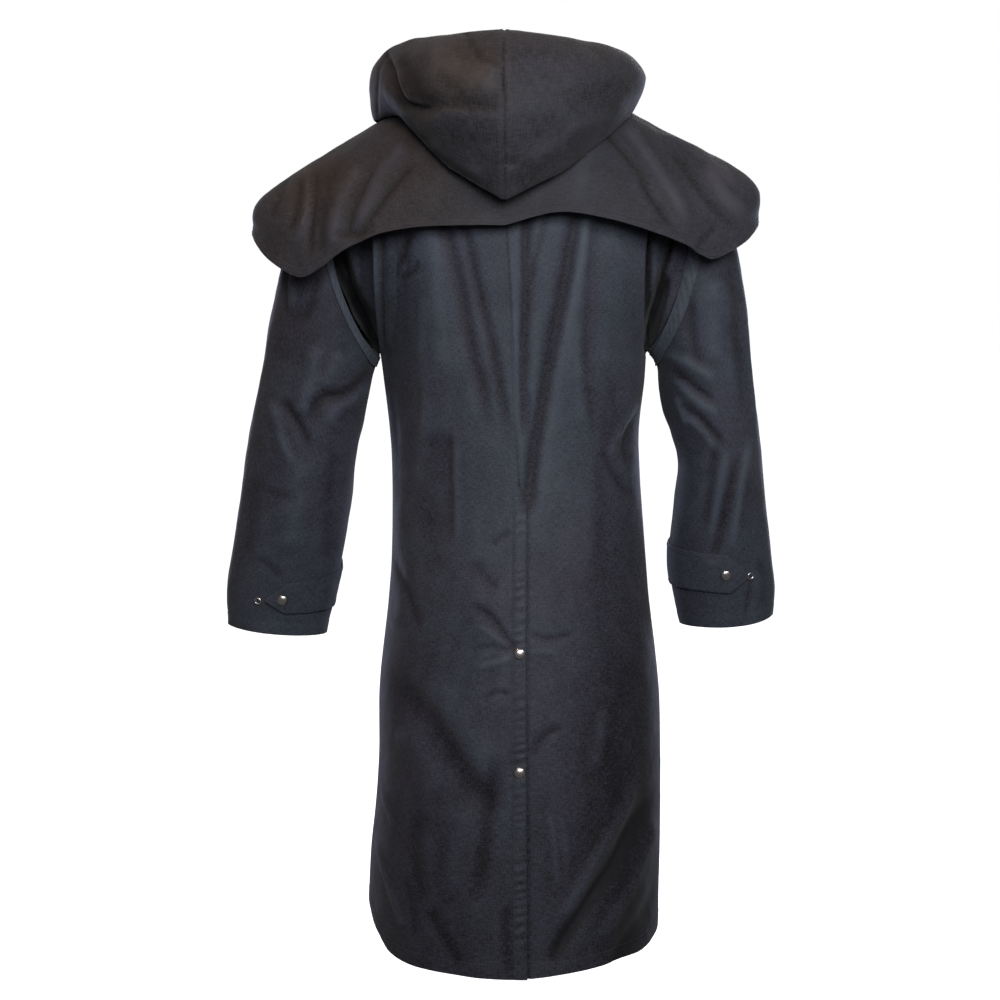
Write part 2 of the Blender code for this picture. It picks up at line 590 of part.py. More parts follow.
def gusset(side):
    """The pleat underlay between the armhole and the back panel, tucked under the pleat's open edge."""
    cuts = sections(side, "back")
    start = len(skirt_heights())
    outer, inner = [], []
    for turn in GUSSET_TURNS:
        place = start + (180 - turn) / 180 * ARMHOLE_STEPS
        cut = between(cuts, place)
        open_share = math.sin(math.pi * (GUSSET_TURNS[0] - turn) / (GUSSET_TURNS[0] - GUSSET_TURNS[-1]))
        normal = armhole_normal(side, turn)
        hidden = (WALL + GUSSET_SINK) * (1 - smooth_step(0.0, 0.6, open_share))
        sewn = armhole(side, turn) - normal * hidden - Vector((side * (SEAM_GAP / 2 + hidden), 0, 0))
        edge = quarter(cut, 1) + Vector((-side * 0.004, GUSSET_DEPTH[side], 0))
        tucks = []
        for share in (0.90, 0.80):
            step = quarter(cut, share + 0.01) - quarter(cut, share - 0.01)
            out = Vector((side * abs(step.y), -abs(step.x), 0)).normalized()
            tucks.append(quarter(cut, share) - out * (WALL + 0.0045))
        points = [sewn, sewn.lerp(edge, 0.5), edge] + tucks
        points[1].y += GUSSET_RECESS[side] * open_share
        points[2].y += GUSSET_RECESS[side] * open_share * 0.6
        away = Vector((side * 0.5, -1, 0)).normalized()
        outer.append(points)
        inner.append([p - (normal if n == 0 else away) * WALL for n, p in enumerate(points)])
    cloth("gusset_" + ("left" if side < 0 else "right"), outer, inner, "waxed_cotton")


def sleeve_point(side, place, turn):
    """A point of a sleeve. place counts the rows of its table, and turn goes round it as at the armhole."""
    rows = [Vector(row) for row in SLEEVES[side]]
    outer_x, outer_z, inner_x, inner_z, middle_y, depth, bow = spline(rows, place)
    angle = math.radians(turn)
    c, s = math.cos(angle), math.sin(angle)
    x = (outer_x + inner_x) / 2 + (outer_x - inner_x) / 2 * c + bow * s * s
    z = (outer_z + inner_z) / 2 + (outer_z - inner_z) / 2 * c
    return Vector((side * x, middle_y - depth * s, z))


def sleeve_skin(side, places, turns):
    """Outer points and normals of a sleeve at the given rows and turns."""
    last = len(SLEEVES[side]) - 1.0
    outer, normals = [], []
    for place in places:
        points, outs = [], []
        for turn in turns:
            base = sleeve_point(side, place, turn)
            around = sleeve_point(side, place, turn + 1) - sleeve_point(side, place, turn - 1)
            down = sleeve_point(side, min(place + 0.05, last), turn) - sleeve_point(side, max(place - 0.05, 0), turn)
            middle = (sleeve_point(side, place, 0) + sleeve_point(side, place, 180)) / 2
            middle.y = SLEEVES[side][0].middle_y
            normal = across(around, down, base - middle)
            height = 0.0
            for fold in SLEEVE_FOLDS:
                if fold.side == side:
                    off = (turn - fold.turn + 180) % 360 - 180
                    line = place / last - fold.down - fold.slant * off
                    height += fold.depth * math.exp(-((line / fold.half_down) ** 2) - (off / fold.half_turn) ** 2)
            if place == 0:
                normal = armhole_normal(side, turn)
                base = base + Vector((side, 0, 0)) * SEAM_GAP / 2
            points.append(base + normal * height * smooth_step(1.5, 3.0, place))
            outs.append(normal)
        outer.append(points)
        normals.append(outs)
    return outer, normals


def sleeves():
    made = []
    for side, word in ((-1, "left"), (1, "right")):
        turns = [18 * n for n in range(20)]
        last = len(SLEEVES[side]) - 1
        places = [0, 1, 2, 3] + [3 + (last - 3) * n / 9 for n in range(1, 10)]
        outer, normals = sleeve_skin(side, places, turns)
        cloth("sleeve_" + word, outer, inward(outer, normals, WALL), "waxed_cotton", closed=True)
        armhole_band(word, outer, normals)
        made.append(outer)
    return made


def armhole_band(word, outer, normals):
    """The stitched band on the sleeve along the armhole, made from the sleeve's own points, moved out."""
    count = len(outer[0])
    lines, outs = [], []
    for part in (0, 0.5, 1):
        points, away = [], []
        for j in range(count):
            start = BAND_START + BAND_CLEAR * smooth_step(0.30, 0.46, min(j, count - j) / count)
            wanted = start + (BAND_WIDTH - start) * part
            walked = 0.0
            for i in range(len(outer) - 1):
                piece = (outer[i + 1][j] - outer[i][j]).length
                if walked + piece >= wanted:
                    share = (wanted - walked) / piece
                    points.append(outer[i][j].lerp(outer[i + 1][j], share))
                    away.append(normals[i + 1][j])
                    break
                walked += piece
        lines.append(points)
        outs.append(away)
    foot, top = [], []
    for i, (points, away) in enumerate(zip(lines, outs)):
        low, high = [], []
        for j in range(count):
            around = points[(j + 1) % count] - points[j - 1]
            normal = across(around, lines[min(i + 1, 2)][j] - lines[max(i - 1, 0)][j], away[j])
            low.append(points[j] + normal * BAND_GAP)
            high.append(points[j] + normal * (BAND_GAP + BAND_WALL))
        foot.append(low)
        top.append(high)
    cloth("armhole_band_" + word, top, foot, "waxed_cotton", closed=True)


def cuff_straps():
    """A pointed strap round the back of each cuff, sewn in behind the inner seam."""
    made = {}
    for row in STRAPS:
        count, count_across = 12, 4
        turns = [row.start + (row.tip - row.start) * n / count for n in range(count + 1)]
        edges = [[line[0] + (line[1] - line[0]) * (180 - turn) / 90 for line in (row.top, row.foot)] for turn in turns]
        mids = [sleeve_point(row.side, sum(pair) / 2, turn) for pair, turn in zip(edges, turns)]
        rest = [sum((a - b).length for a, b in zip(mids[n:], mids[n + 1:])) for n in range(count + 1)]
        outer, inner = [], []
        for (top, foot), turn, left in zip(edges, turns, rest):
            width = min(1.0, 0.10 + 0.90 * left / STRAP_POINT)
            places = [(top + foot) / 2 + (foot - top) * (n / count_across - 0.5) * width for n in range(count_across + 1)]
            points, normals = sleeve_skin(row.side, places, [turn])
            outer.append([p[0] + n[0] * (BAND_GAP + STRAP_WALL) for p, n in zip(points, normals)])
            inner.append([p[0] + n[0] * BAND_GAP for p, n in zip(points, normals)])
        word = "left" if row.side < 0 else "right"
        cloth("cuff_strap_" + word, outer, inner, "waxed_cotton")
        for kind, turn in (("stud", row.stud), ("socket", row.socket)):
            place = sum(line[0] + (line[1] - line[0]) * (180 - turn) / 90 for line in (row.top, row.foot)) / 2
            points, normals = sleeve_skin(row.side, [place], [turn])
            stand = BAND_GAP + STRAP_WALL if kind == "stud" else 0.0
            made[row.side, kind] = (points[0][0] + normals[0][0] * stand, normals[0][0])
    return made


def neck_edge(side, turn):
    """A point of the body's neck edge at a turn round the neck, and the level way out from it."""
    back = turn <= 90
    cuts = sections(side, "back" if back else "front")
    base = quarter(cuts[-1], (turn if back else 180 - turn) / 90)
    return base, Vector((base.x, base.y, 0)).normalized()


def stand_face(side, turn, rise):
    """A point just outside the neck stand, where the cape and the hood are sewn to it."""
    base, out = neck_edge(side, turn)
    rise += FRONT_RISE * smooth_step(95, 135, turn)
    lean = STAND_SET_IN + STAND_LEAN * rise / STAND_HEIGHT
    return base - out * (lean - SEAM_GAP) + Vector((0, 0, rise))


def cape_point(side, place, down):
    """A point of the cape. place counts the rows of its table, and down runs from 0 at the neck to 1."""
    rows = CAPE[side]
    neck = max(0.0, spline([Vector((row.neck, 0)) for row in rows], place)[0])
    start = stand_face(side, neck, CAPE_RISE)
    points = [start]
    for column in ("shoulder", "knee", "hem"):
        x, y, z = spline([Vector(getattr(row, column)) for row in rows], place)
        points.append(Vector((side * x, y, z)))
    return spline(points, down * 3)


def surface_tree(grids, closed=False):
    """The outer skins of some pieces, to lay another piece on."""
    corners, faces = [], []
    for grid in grids:
        start, width = len(corners), len(grid[0])
        corners += [p for row in grid for p in row]
        for i in range(len(grid) - 1):
            for j in range(width if closed else width - 1):
                k = (j + 1) % width
                near, far = start + i * width, start + (i + 1) * width
                faces.append((near + j, near + k, far + k, far + j))
    return BVHTree.FromPolygons(corners, faces)


def laid_on(point, normal, trees, stand):
    """The point, moved out along its normal where it is nearer than stand to one of the surfaces."""
    for tree in trees:
        _, _, _, distance = tree.ray_cast(point + normal * LAY_REACH, -normal, LAY_REACH + stand)
        if distance is not None:
            point = point + normal * (LAY_REACH + stand - distance)
    return point


def cape(trees):
    """The shoulder cape, one sheet from its left front edge round the back to its right front edge. It lies
    on the shoulders."""
    steps, downs = 26, 9
    places = {side: [cape_place(side, CAPE_END * n / steps) for n in range(steps + 1)] for side in (-1, 1)}
    columns = [(-1, place) for place in reversed(places[-1][1:])] + [(1, place) for place in places[1]]
    outer, inner = [], []
    for i in range(downs + 1):
        down = i / downs
        row_outer, row_inner = [], []
        for side, place in columns:
            point, normal = cape_skin(side, place, down)
            if i == 0:
                normal = Vector((0, 0, 1))
            else:
                point = laid_on(point, normal, trees, WALL + CAPE_REST)
            row_outer.append(point)
            row_inner.append(point - normal * WALL)
        outer.append(row_outer)
        inner.append(row_inner)
    cloth("cape", outer, inner, "waxed_cotton_cape")
    return surface_tree([outer])


def cape_place(side, neck):
    """The place in the cape's table where it is that far round the neck."""
    turns = [Vector((row.neck, 0)) for row in CAPE[side]]
    low, high = 0.0, len(turns) - 1.0
    for _ in range(40):
        middle = (low + high) / 2
        low, high = (middle, high) if spline(turns, middle)[0] < neck else (low, middle)
    return (low + high) / 2


def cape_skin(side, place, down):
    last = len(CAPE[1]) - 1.0
    base = cape_point(side, place, down)
    low_place, high_place = max(place - 0.1, 0.0), min(place + 0.1, last)
    around = cape_point(side, high_place, down) - cape_point(side, low_place, down)
    if place == 0:
        around = cape_point(1, 0.1, down) - cape_point(-1, 0.1, down)
    length = cape_point(side, place, min(down + 0.04, 1.0)) - cape_point(side, place, max(down - 0.04, 0.0))
    normal = across(around, length, Vector((base.x * 0.6, base.y, 0.12)))
    neck = spline([Vector((row.neck, 0)) for row in CAPE[side]], place)[0]
    height = 0.0
    for fold in CAPE_FOLDS:
        if fold.side == side:
            off = (neck - fold.neck - (fold.hem - fold.neck) * down) / fold.half_width
            height += fold.depth * math.exp(-off * off) * smooth_step(fold.start, fold.start + 0.35, down)
    return base + normal * height, normal


def neck_stand():
    """The plain band that the hood and cape are sewn to, standing round the neck."""
    count, rises = 28, 2
    outer, inner = [], []
    turns = [STAND_END * (2 * n / count - 1) for n in range(count + 1)]
    for i in range(rises + 1):
        rise = STAND_HEIGHT * i / rises
        row_outer, row_inner = [], []
        for turn in turns:
            side = -1 if turn < 0 else 1
            base, out = neck_edge(side, abs(turn))
            point = base - out * (STAND_SET_IN + STAND_LEAN * i / rises) + Vector((0, 0, rise + LAYER_GAP))
            row_outer.append(point)
            row_inner.append(point - out * WALL)
        outer.append(row_outer)
        inner.append(row_inner)
    cloth("neck_stand", outer, inner, "waxed_cotton")


def hood_point(side, turn, down):
    """A point of the hood. turn goes round the neck, and down runs from the neck seam to the rim."""
    rows = HOOD[side]
    turns = [row.turn for row in rows]
    index = 0
    while index < len(rows) - 2 and turn > turns[index + 1]:
        index += 1
    place = index + (turn - turns[index]) / (turns[index + 1] - turns[index])
    angle = math.radians(turn)
    start = stand_face(side, turn, HOOD_RISE)
    points = [start]
    middle_x = HOOD_MIDDLE_X * (1 - smooth_step(90, 156, turn))
    for column in ("under", "low_in", "low", "low_out", "belly", "brow", "crown", "rim"):
        reach, height = spline([Vector(getattr(row, column)) for row in rows], place)
        points.append(Vector((middle_x + side * reach * math.sin(angle), -reach * math.cos(angle), height)))
    return spline(points, down * (len(points) - 1))


def hood(cape_tree):
    """The two halves of the hood, joined by the seam down the middle of the back. It rests on the cape."""
    for side, word in ((-1, "left"), (1, "right")):
        turns = [CAPE_END * n / 13 for n in range(14)]
        downs = [n / 16 for n in range(17)]
        outer, inner = [], []
        for down in downs:
            row_outer, row_inner = [], []
            for turn in turns:
                base = hood_point(side, turn, down)
                below = cape_tree.ray_cast(Vector((base.x, base.y, 0.5)), Vector((0, 0, -1)))[0]
                if below and 0 < down < 0.6:
                    base.z = max(base.z, below.z + HOOD_REST)
                around = hood_point(side, min(turn + 1, CAPE_END), down) - hood_point(side, max(turn - 1, 0), down)
                if turn == 0:
                    around = Vector((side, 0, 0))
                    base = base + around * SEAM_GAP / 2
                low, high = max(down - 0.01, 0.0), min(down + 0.01, 1.0)
                length = hood_point(side, turn, high) - hood_point(side, turn, low)
                normal = around.cross(length).normalized() * side if down > 0 else Vector((0, 0, -1))
                row_outer.append(base)
                row_inner.append(base - normal * WALL)
            outer.append(row_outer)
            inner.append(row_inner)
        cloth("hood_" + word, outer, inner, "waxed_cotton_cape")


def turned(name, profile, place, axis, finish):
    """A round piece turned from (radius, height) points, standing on place along axis."""
    form = bmesh.new()
    rings = []
    for radius, height in profile:
        if radius == 0:
            rings.append([form.verts.new((0, 0, height))])
        else:
            turns = [2 * math.pi * n / STUD_SIDES for n in range(STUD_SIDES)]
            rings.append([form.verts.new((radius * math.cos(t), radius * math.sin(t), height)) for t in turns])
    for low, high in zip(rings, rings[1:]):
        for n in range(STUD_SIDES):
            m = (n + 1) % STUD_SIDES
            corners = [low[n % len(low)], low[m % len(low)], high[m % len(high)], high[n % len(high)]]
            form.faces.new(list(dict.fromkeys(corners)))
    bmesh.ops.recalc_face_normals(form, faces=form.faces)
    mesh = bpy.data.meshes.new(name)
    form.to_mesh(mesh)
    form.free()
    mesh.shade_smooth()
    made = bpy.data.objects.new(name, mesh)
    made.location = place + axis * LAYER_GAP
    made.rotation_euler = axis.to_track_quat("Z", "Y").to_euler()
    made.data.materials.append(material(finish))
    bpy.context.scene.collection.objects.link(made)


def stud_cap(name, place, axis):
    r, h = STUD_RADIUS, STUD_HEIGHT
    turned(name, [(0, 0), (r, 0), (r, h * 0.35), (r * 0.8, h * 0.85), (0, h)], place, axis, "stud_metal")


def stud_socket(name, place, axis):
    """The open half of a press stud: a raised ring with a well in the middle."""
    r, well = SOCKET_RADIUS, SOCKET_HOLE_RADIUS
    turned(name, [(0, 0), (r, 0), (r * 0.95, 0.0016), (well, 0.0022), (well, 0.0008), (0, 0.0008)], place, axis,
           "stud_metal")


def on_panel(panel, x, z):
    """The point and normal of a panel nearest to a place seen square on."""
    outer, normals = panel
    found = min(((abs(p.x - x) + abs(p.z - z), i, j) for i, row in enumerate(outer) for j, p in enumerate(row)))
    _, i, j = found
    best = None
    for a in (max(i - 1, 0), min(i, len(outer) - 2)):
        for b in (max(j - 1, 0), min(j, len(outer[0]) - 2)):
            for m in range(11):
                for n in range(11):
                    low = outer[a][b].lerp(outer[a][b + 1], n / 10)
                    high = outer[a + 1][b].lerp(outer[a + 1][b + 1], n / 10)
                    point = low.lerp(high, m / 10)
                    error = abs(point.x - x) + abs(point.z - z)
                    if best is None or error < best[0]:
                        best = (error, point, normals[i][j])
    return best[1], best[2]


def studs(panels, straps):
    """Press studs: two on the back vent, one row down the front, and two on each cuff."""
    for name, x, z in (("vent_stud_upper", 0.0101, -0.8115), ("vent_stud_lower", 0.0112, -0.9815)):
        place, axis = on_panel(panels["back_left"], x, z)
        stud_cap(name, place, axis)
    for n in range(7):
        place, axis = on_panel(panels["front_left"], 0.012, -0.150 - 0.135 * n)
        stud_cap("front_stud_%d" % (n + 1), place, axis)
    for side, word in ((-1, "left"), (1, "right")):
        stud_cap("cuff_stud_" + word, *straps[side, "stud"])
        stud_socket("cuff_socket_" + word, *straps[side, "socket"])


def main():
    for old in list(bpy.data.objects):
        bpy.data.objects.remove(old)
    panels = body_panels()
    for side in (-1, 1):
        gusset(side)
    sleeve_skins = sleeves()
    straps = cuff_straps()
    cape_tree = cape([surface_tree([panel[0] for panel in panels.values()]), surface_tree(sleeve_skins, True)])
    neck_stand()
    hood(cape_tree)
    studs(panels, straps)


main()
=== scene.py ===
"""The looks of a long hooded riding coat in waxed cotton, hung as it is when worn and seen from behind.

Frame: +X is the wearer's right, +Y the wearer's front, +Z up. Sizes are in metres unless a name says otherwise.
Places given as "frame" are across and down in the photograph's frame, in thousandths of its width.
"""

import math
from collections import namedtuple

import bpy
import numpy as np
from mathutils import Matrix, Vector
from mathutils.bvhtree import BVHTree


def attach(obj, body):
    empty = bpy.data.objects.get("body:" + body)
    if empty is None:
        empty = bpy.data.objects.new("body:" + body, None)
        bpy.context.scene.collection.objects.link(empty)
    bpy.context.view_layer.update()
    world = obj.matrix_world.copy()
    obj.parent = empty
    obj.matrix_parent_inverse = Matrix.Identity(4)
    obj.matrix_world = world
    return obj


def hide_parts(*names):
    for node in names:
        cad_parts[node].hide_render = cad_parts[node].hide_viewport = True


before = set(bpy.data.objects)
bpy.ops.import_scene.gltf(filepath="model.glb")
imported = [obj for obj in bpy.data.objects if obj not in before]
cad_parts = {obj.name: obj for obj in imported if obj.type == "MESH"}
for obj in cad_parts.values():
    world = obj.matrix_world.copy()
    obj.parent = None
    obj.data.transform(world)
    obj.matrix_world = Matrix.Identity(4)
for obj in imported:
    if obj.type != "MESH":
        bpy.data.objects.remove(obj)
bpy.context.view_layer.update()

SIDES = ((-1, "left"), (1, "right"))

# The camera, level with the wearer's waist and tipped down a little. FOCAL is in thousandths of the frame's width
# and SENSOR in millimetres.
EYE = np.array((-0.018, -2.7, -0.32))
TIP_DOWN = math.radians(6.298)
FOCAL = 1812.0
SENSOR = 36.0
AHEAD = np.array((0.0, math.cos(TIP_DOWN), -math.sin(TIP_DOWN)))
UPWARD = np.array((0.0, math.sin(TIP_DOWN), math.cos(TIP_DOWN)))

# The cloth and where its seams run. UNDERARM_POINT, ARMHOLE_BOW, CUFF_RISE and BAND_WIDTH differ a little from
# the solids, to follow the photograph. Keys -1 and 1 are the left and the right side.
WALL = 0.0018
BAND_WALL = 0.0012
BAND_GAP = 0.0010
LAP_GAP = 0.0010
LAYER_GAP = 0.0006
SEAM_GAP = 0.0004
STRAP_WALL = 0.0022
STRAP_POINT = 0.030
VENT_TOP_Z = -0.586
VENT_LAP = 0.008
VENT_UNDERLAP = 0.030
FRONT_LAP = 0.026
FRONT_UNDERLAP = 0.028
LAP_LEVEL = 0.030
LAP_RUNOUT = 0.070
SHOULDER_POINT = (0.235, -0.092)
UNDERARM_POINT = {-1: (0.195, -0.399), 1: (0.200, -0.397)}
UNDERARM_Z = -0.405
JOIN_HEIGHTS = (-0.432, -0.405)
CUFF_RISE = {-1: 0.003, 1: 0.014}
ARMHOLE_HALF_DEPTH = 0.075
ARMHOLE_BOW = {-1: 0.046, 1: 0.035}
ARMHOLE_ROUND = {-1: 1.5, 1: 2.0}
BAND_WIDTH = {-1: 0.021, 1: 0.027}
BAND_START = 0.0015
BAND_CLEAR = 0.0045
NECK_HALF_WIDTH = 0.085
STAND_HEIGHT = 0.032
STAND_LEAN = 0.003
STAND_END = 168
STAND_SET_IN = 0.0012
CAPE_RISE = 0.0056
HOOD_RISE = 0.0076
FRONT_RISE = 0.0034
HOOD_MIDDLE_X = -0.012
HOOD_REST = 0.0050
CAPE_REST = 0.0040
CAPE_END = 156
LAY_REACH = 0.040
HEM_Z = -1.272
HEM_SEWN = 0.0195
VENT_SOFT = 0.004

# The puckered facing of the vent: the middle of the strip, its stitching and its top, in the frame.
STRIP_X = 519.5
STRIP_SEWN_X = 513.6
STRIP_TOP = (486, 494)

# Sizes of the cloth's uneven looks, as grains per metre.
WEAVE = 620.0
FUZZ = 560.0
PATCHES = 55.0
CLOUDS = 13.0
TINTS = 6.0

# Colours of the cloth: its ground, a second colour that comes in random patches and is also the painted shade tone in
# troughs, and a lighter colour for crests, partly wear and partly painted highlight.
NAVY = (0.0405, 0.0478, 0.0645, 1), (0.0450, 0.0428, 0.0650, 1), (0.078, 0.086, 0.108, 1)
BLACK = (0.0285, 0.0280, 0.0378, 1), (0.0345, 0.0298, 0.0335, 1), (0.060, 0.054, 0.059, 1)
# A warm brown, painted light where warm light falls on the tops of the hood and the cape.
WARM_LIGHT_BROWN = (0.0300, 0.0215, 0.0180, 1)
# Painted shade: what is left of the ground's colour in deep troughs.
TROUGH_SHADE_SHARES = (0.04, 0.02, 0.04, 1)

# Where warm light falling on the tops of the hood and the cape is painted in brown: x, z and reach.
WARM_LIT_PLACES = ((-0.063, -0.010, 0.075), (-0.285, -0.145, 0.080))

# All folds that are given in millimetres are drawn this much higher.
FOLD_SCALE = 1.35

# How fine the cloth is drawn. Above the underarm the body has rows at the spacing up to section UPPER_SPLIT, and
# NECK_ROWS from there to section UPPER_END at the neck.
SPACING = 0.0030
FRONT_SPACING = SPACING * 1.6
SLEEVE_SPACING = 0.0038
PANEL_WIDTH = 0.27
UPPER_LENGTH = 0.24
UPPER_SPLIT = 9
UPPER_END = 15
NECK_ROWS = 30
SLEEVE_LENGTH = 0.74
SLEEVE_GIRTH = 0.52
SLEEVE_END = 12
CUFF_START = 10.4
BAND_LINES = 9
STRAP_COLUMNS = 22
STRAP_ROWS = 90
CAPE_STEPS = 26
CAPE_DOWNS = 12
CAPE_ROWS = 105
CAPE_COLUMNS = 430
HOOD_ROWS = 200
HOOD_COLUMNS = 130
HOOD_LAID_ROWS = 120
HOOD_HANGING_ROWS = slice(60, 190)
HOOD_SEWN_ROW = 70

# The skirt and body from the hem to the underarm: height, left and right half widths, back and front half
# depths, and the sideways place of the centre back seam.
GIRTHS = np.array((
    (-1.272, 0.2185, 0.2235, 0.236, 0.216, 0.0125),
    (-1.157, 0.2140, 0.2256, 0.226, 0.207, 0.0115),
    (-1.016, 0.2023, 0.2257, 0.212, 0.197, 0.0105),
    (-0.893, 0.1998, 0.2215, 0.198, 0.188, 0.0100),
    (-0.770, 0.1860, 0.2067, 0.180, 0.178, 0.0100),
    (-0.694, 0.1804, 0.2000, 0.165, 0.168, 0.0102),
    (-0.586, 0.1790, 0.1915, 0.148, 0.158, 0.0105),
    (-0.513, 0.1820, 0.1890, 0.145, 0.157, 0.0050),
    (-0.440, 0.1905, 0.1965, 0.148, 0.161, 0.0016),
    (-0.405, 0.1950, 0.1990, 0.151, 0.163, -0.0002),
))

# The middle line of the back and front above the underarm: back y and z, front y and z, seam.
MIDDLES = np.array((
    (-0.1515, -0.388, 0.1640, -0.389, -0.0012),
    (-0.1535, -0.358, 0.1650, -0.365, -0.0025),
    (-0.1550, -0.325, 0.1655, -0.340, -0.0040),
    (-0.1560, -0.292, 0.1650, -0.315, -0.0055),
    (-0.1555, -0.260, 0.1635, -0.292, -0.0075),
    (-0.1540, -0.232, 0.1615, -0.272, -0.0090),
    (-0.1515, -0.208, 0.1585, -0.254, -0.0098),
    (-0.1485, -0.188, 0.1550, -0.238, -0.0102),
    (-0.1450, -0.168, 0.1510, -0.222, -0.0105),
    (-0.1405, -0.146, 0.1460, -0.203, -0.0107),
    (-0.1300, -0.108, 0.1350, -0.172, -0.0110),
    (-0.1140, -0.068, 0.1200, -0.139, -0.0110),
    (-0.0950, -0.030, 0.1030, -0.104, -0.0110),
    (-0.0740, 0.004, 0.0850, -0.070, -0.0110),
))

# How far the hem of each back panel rises, by share of the way from the centre seam to the side seam.
HEM_SHARES = (0, 0.26, 0.49, 0.617, 0.68, 0.73, 0.79, 0.87, 1)
HEM_RISES = {
    -1: (0, -0.0007, -0.0030, 0.0005, 0.0090, 0.0175, 0.0265, 0.0400, 0.0460),
    1: (0, 0.0050, 0.0055, 0.0035, 0.0040, 0.0050, 0.0065, 0.0085, 0.0110),
}

ARMHOLE_STEPS = 10
SHOULDER_STEPS = 4

# The open edge of the action pleat behind each armhole, from the underarm up.
PLEAT_EDGE = np.array((
    (0.1962, -0.0300, -0.388),
    (0.1975, -0.0640, -0.352),
    (0.1985, -0.0890, -0.318),
    (0.1990, -0.1030, -0.281),
    (0.1990, -0.1095, -0.243),
    (0.2040, -0.1040, -0.204),
    (0.2210, -0.0850, -0.163),
))
PLEAT_PULL_IN = {-1: 0.0, 1: 0.010}
GUSSET_TURNS = (179, 170, 161, 152, 140, 125, 108, 90, 72, 58, 46)
GUSSET_RECESS = {-1: 0.022, 1: 0.006}
GUSSET_DEPTH = {-1: 0.009, 1: 0.007}
GUSSET_SINK = 0.0040

# The sleeves: outer x and z, inner x and z, middle y, half depth and bow.
SLEEVES = {
    -1: np.array((
        (0.2350, -0.092, 0.1950, -0.399, 0.000, 0.0750, 0.046),
        (0.2620, -0.108, 0.1980, -0.4050, 0.000, 0.0790, 0.036),
        (0.2900, -0.138, 0.2025, -0.4160, 0.001, 0.0820, 0.025),
        (0.3120, -0.180, 0.2060, -0.4280, 0.002, 0.0830, 0.014),
        (0.3310, -0.236, 0.2105, -0.4460, 0.003, 0.0830, 0.006),
        (0.3440, -0.283, 0.2147, -0.4680, 0.004, 0.0825, 0.002),
        (0.3590, -0.345, 0.2210, -0.5000, 0.006, 0.0810, 0.0),
        (0.3740, -0.413, 0.2290, -0.5440, 0.009, 0.0790, 0.0),
        (0.3900, -0.490, 0.2375, -0.5990, 0.014, 0.0760, 0.0),
        (0.4050, -0.585, 0.2490, -0.6650, 0.021, 0.0720, 0.0),
        (0.4205, -0.675, 0.2620, -0.7280, 0.029, 0.0670, 0.0),
        (0.4345, -0.756, 0.2740, -0.7840, 0.037, 0.0610, 0.0),
        (0.4350, -0.814, 0.2840, -0.8260, 0.042, 0.0570, 0.0),
    )),
    1: np.array((
        (0.2350, -0.092, 0.2000, -0.397, 0.000, 0.0750, 0.035),
        (0.2600, -0.107, 0.2065, -0.4005, 0.000, 0.0785, 0.029),
        (0.2860, -0.135, 0.2130, -0.4090, 0.001, 0.0810, 0.021),
        (0.3080, -0.176, 0.2165, -0.4230, 0.002, 0.0820, 0.012),
        (0.3270, -0.230, 0.2180, -0.4400, 0.003, 0.0820, 0.006),
        (0.3380, -0.276, 0.2200, -0.4580, 0.004, 0.0815, 0.002),
        (0.3490, -0.335, 0.2250, -0.4850, 0.006, 0.0800, 0.0),
        (0.3580, -0.405, 0.2350, -0.5200, 0.010, 0.0780, 0.0),
        (0.3680, -0.485, 0.2480, -0.5650, 0.016, 0.0750, 0.0),
        (0.3790, -0.580, 0.2460, -0.6180, 0.026, 0.0710, 0.0),
        (0.3910, -0.672, 0.2400, -0.6900, 0.036, 0.0660, 0.0),
        (0.4020, -0.756, 0.2440, -0.7500, 0.045, 0.0610, 0.0),
        (0.4010, -0.812, 0.2580, -0.8120, 0.050, 0.0570, 0.0),
    )),
}

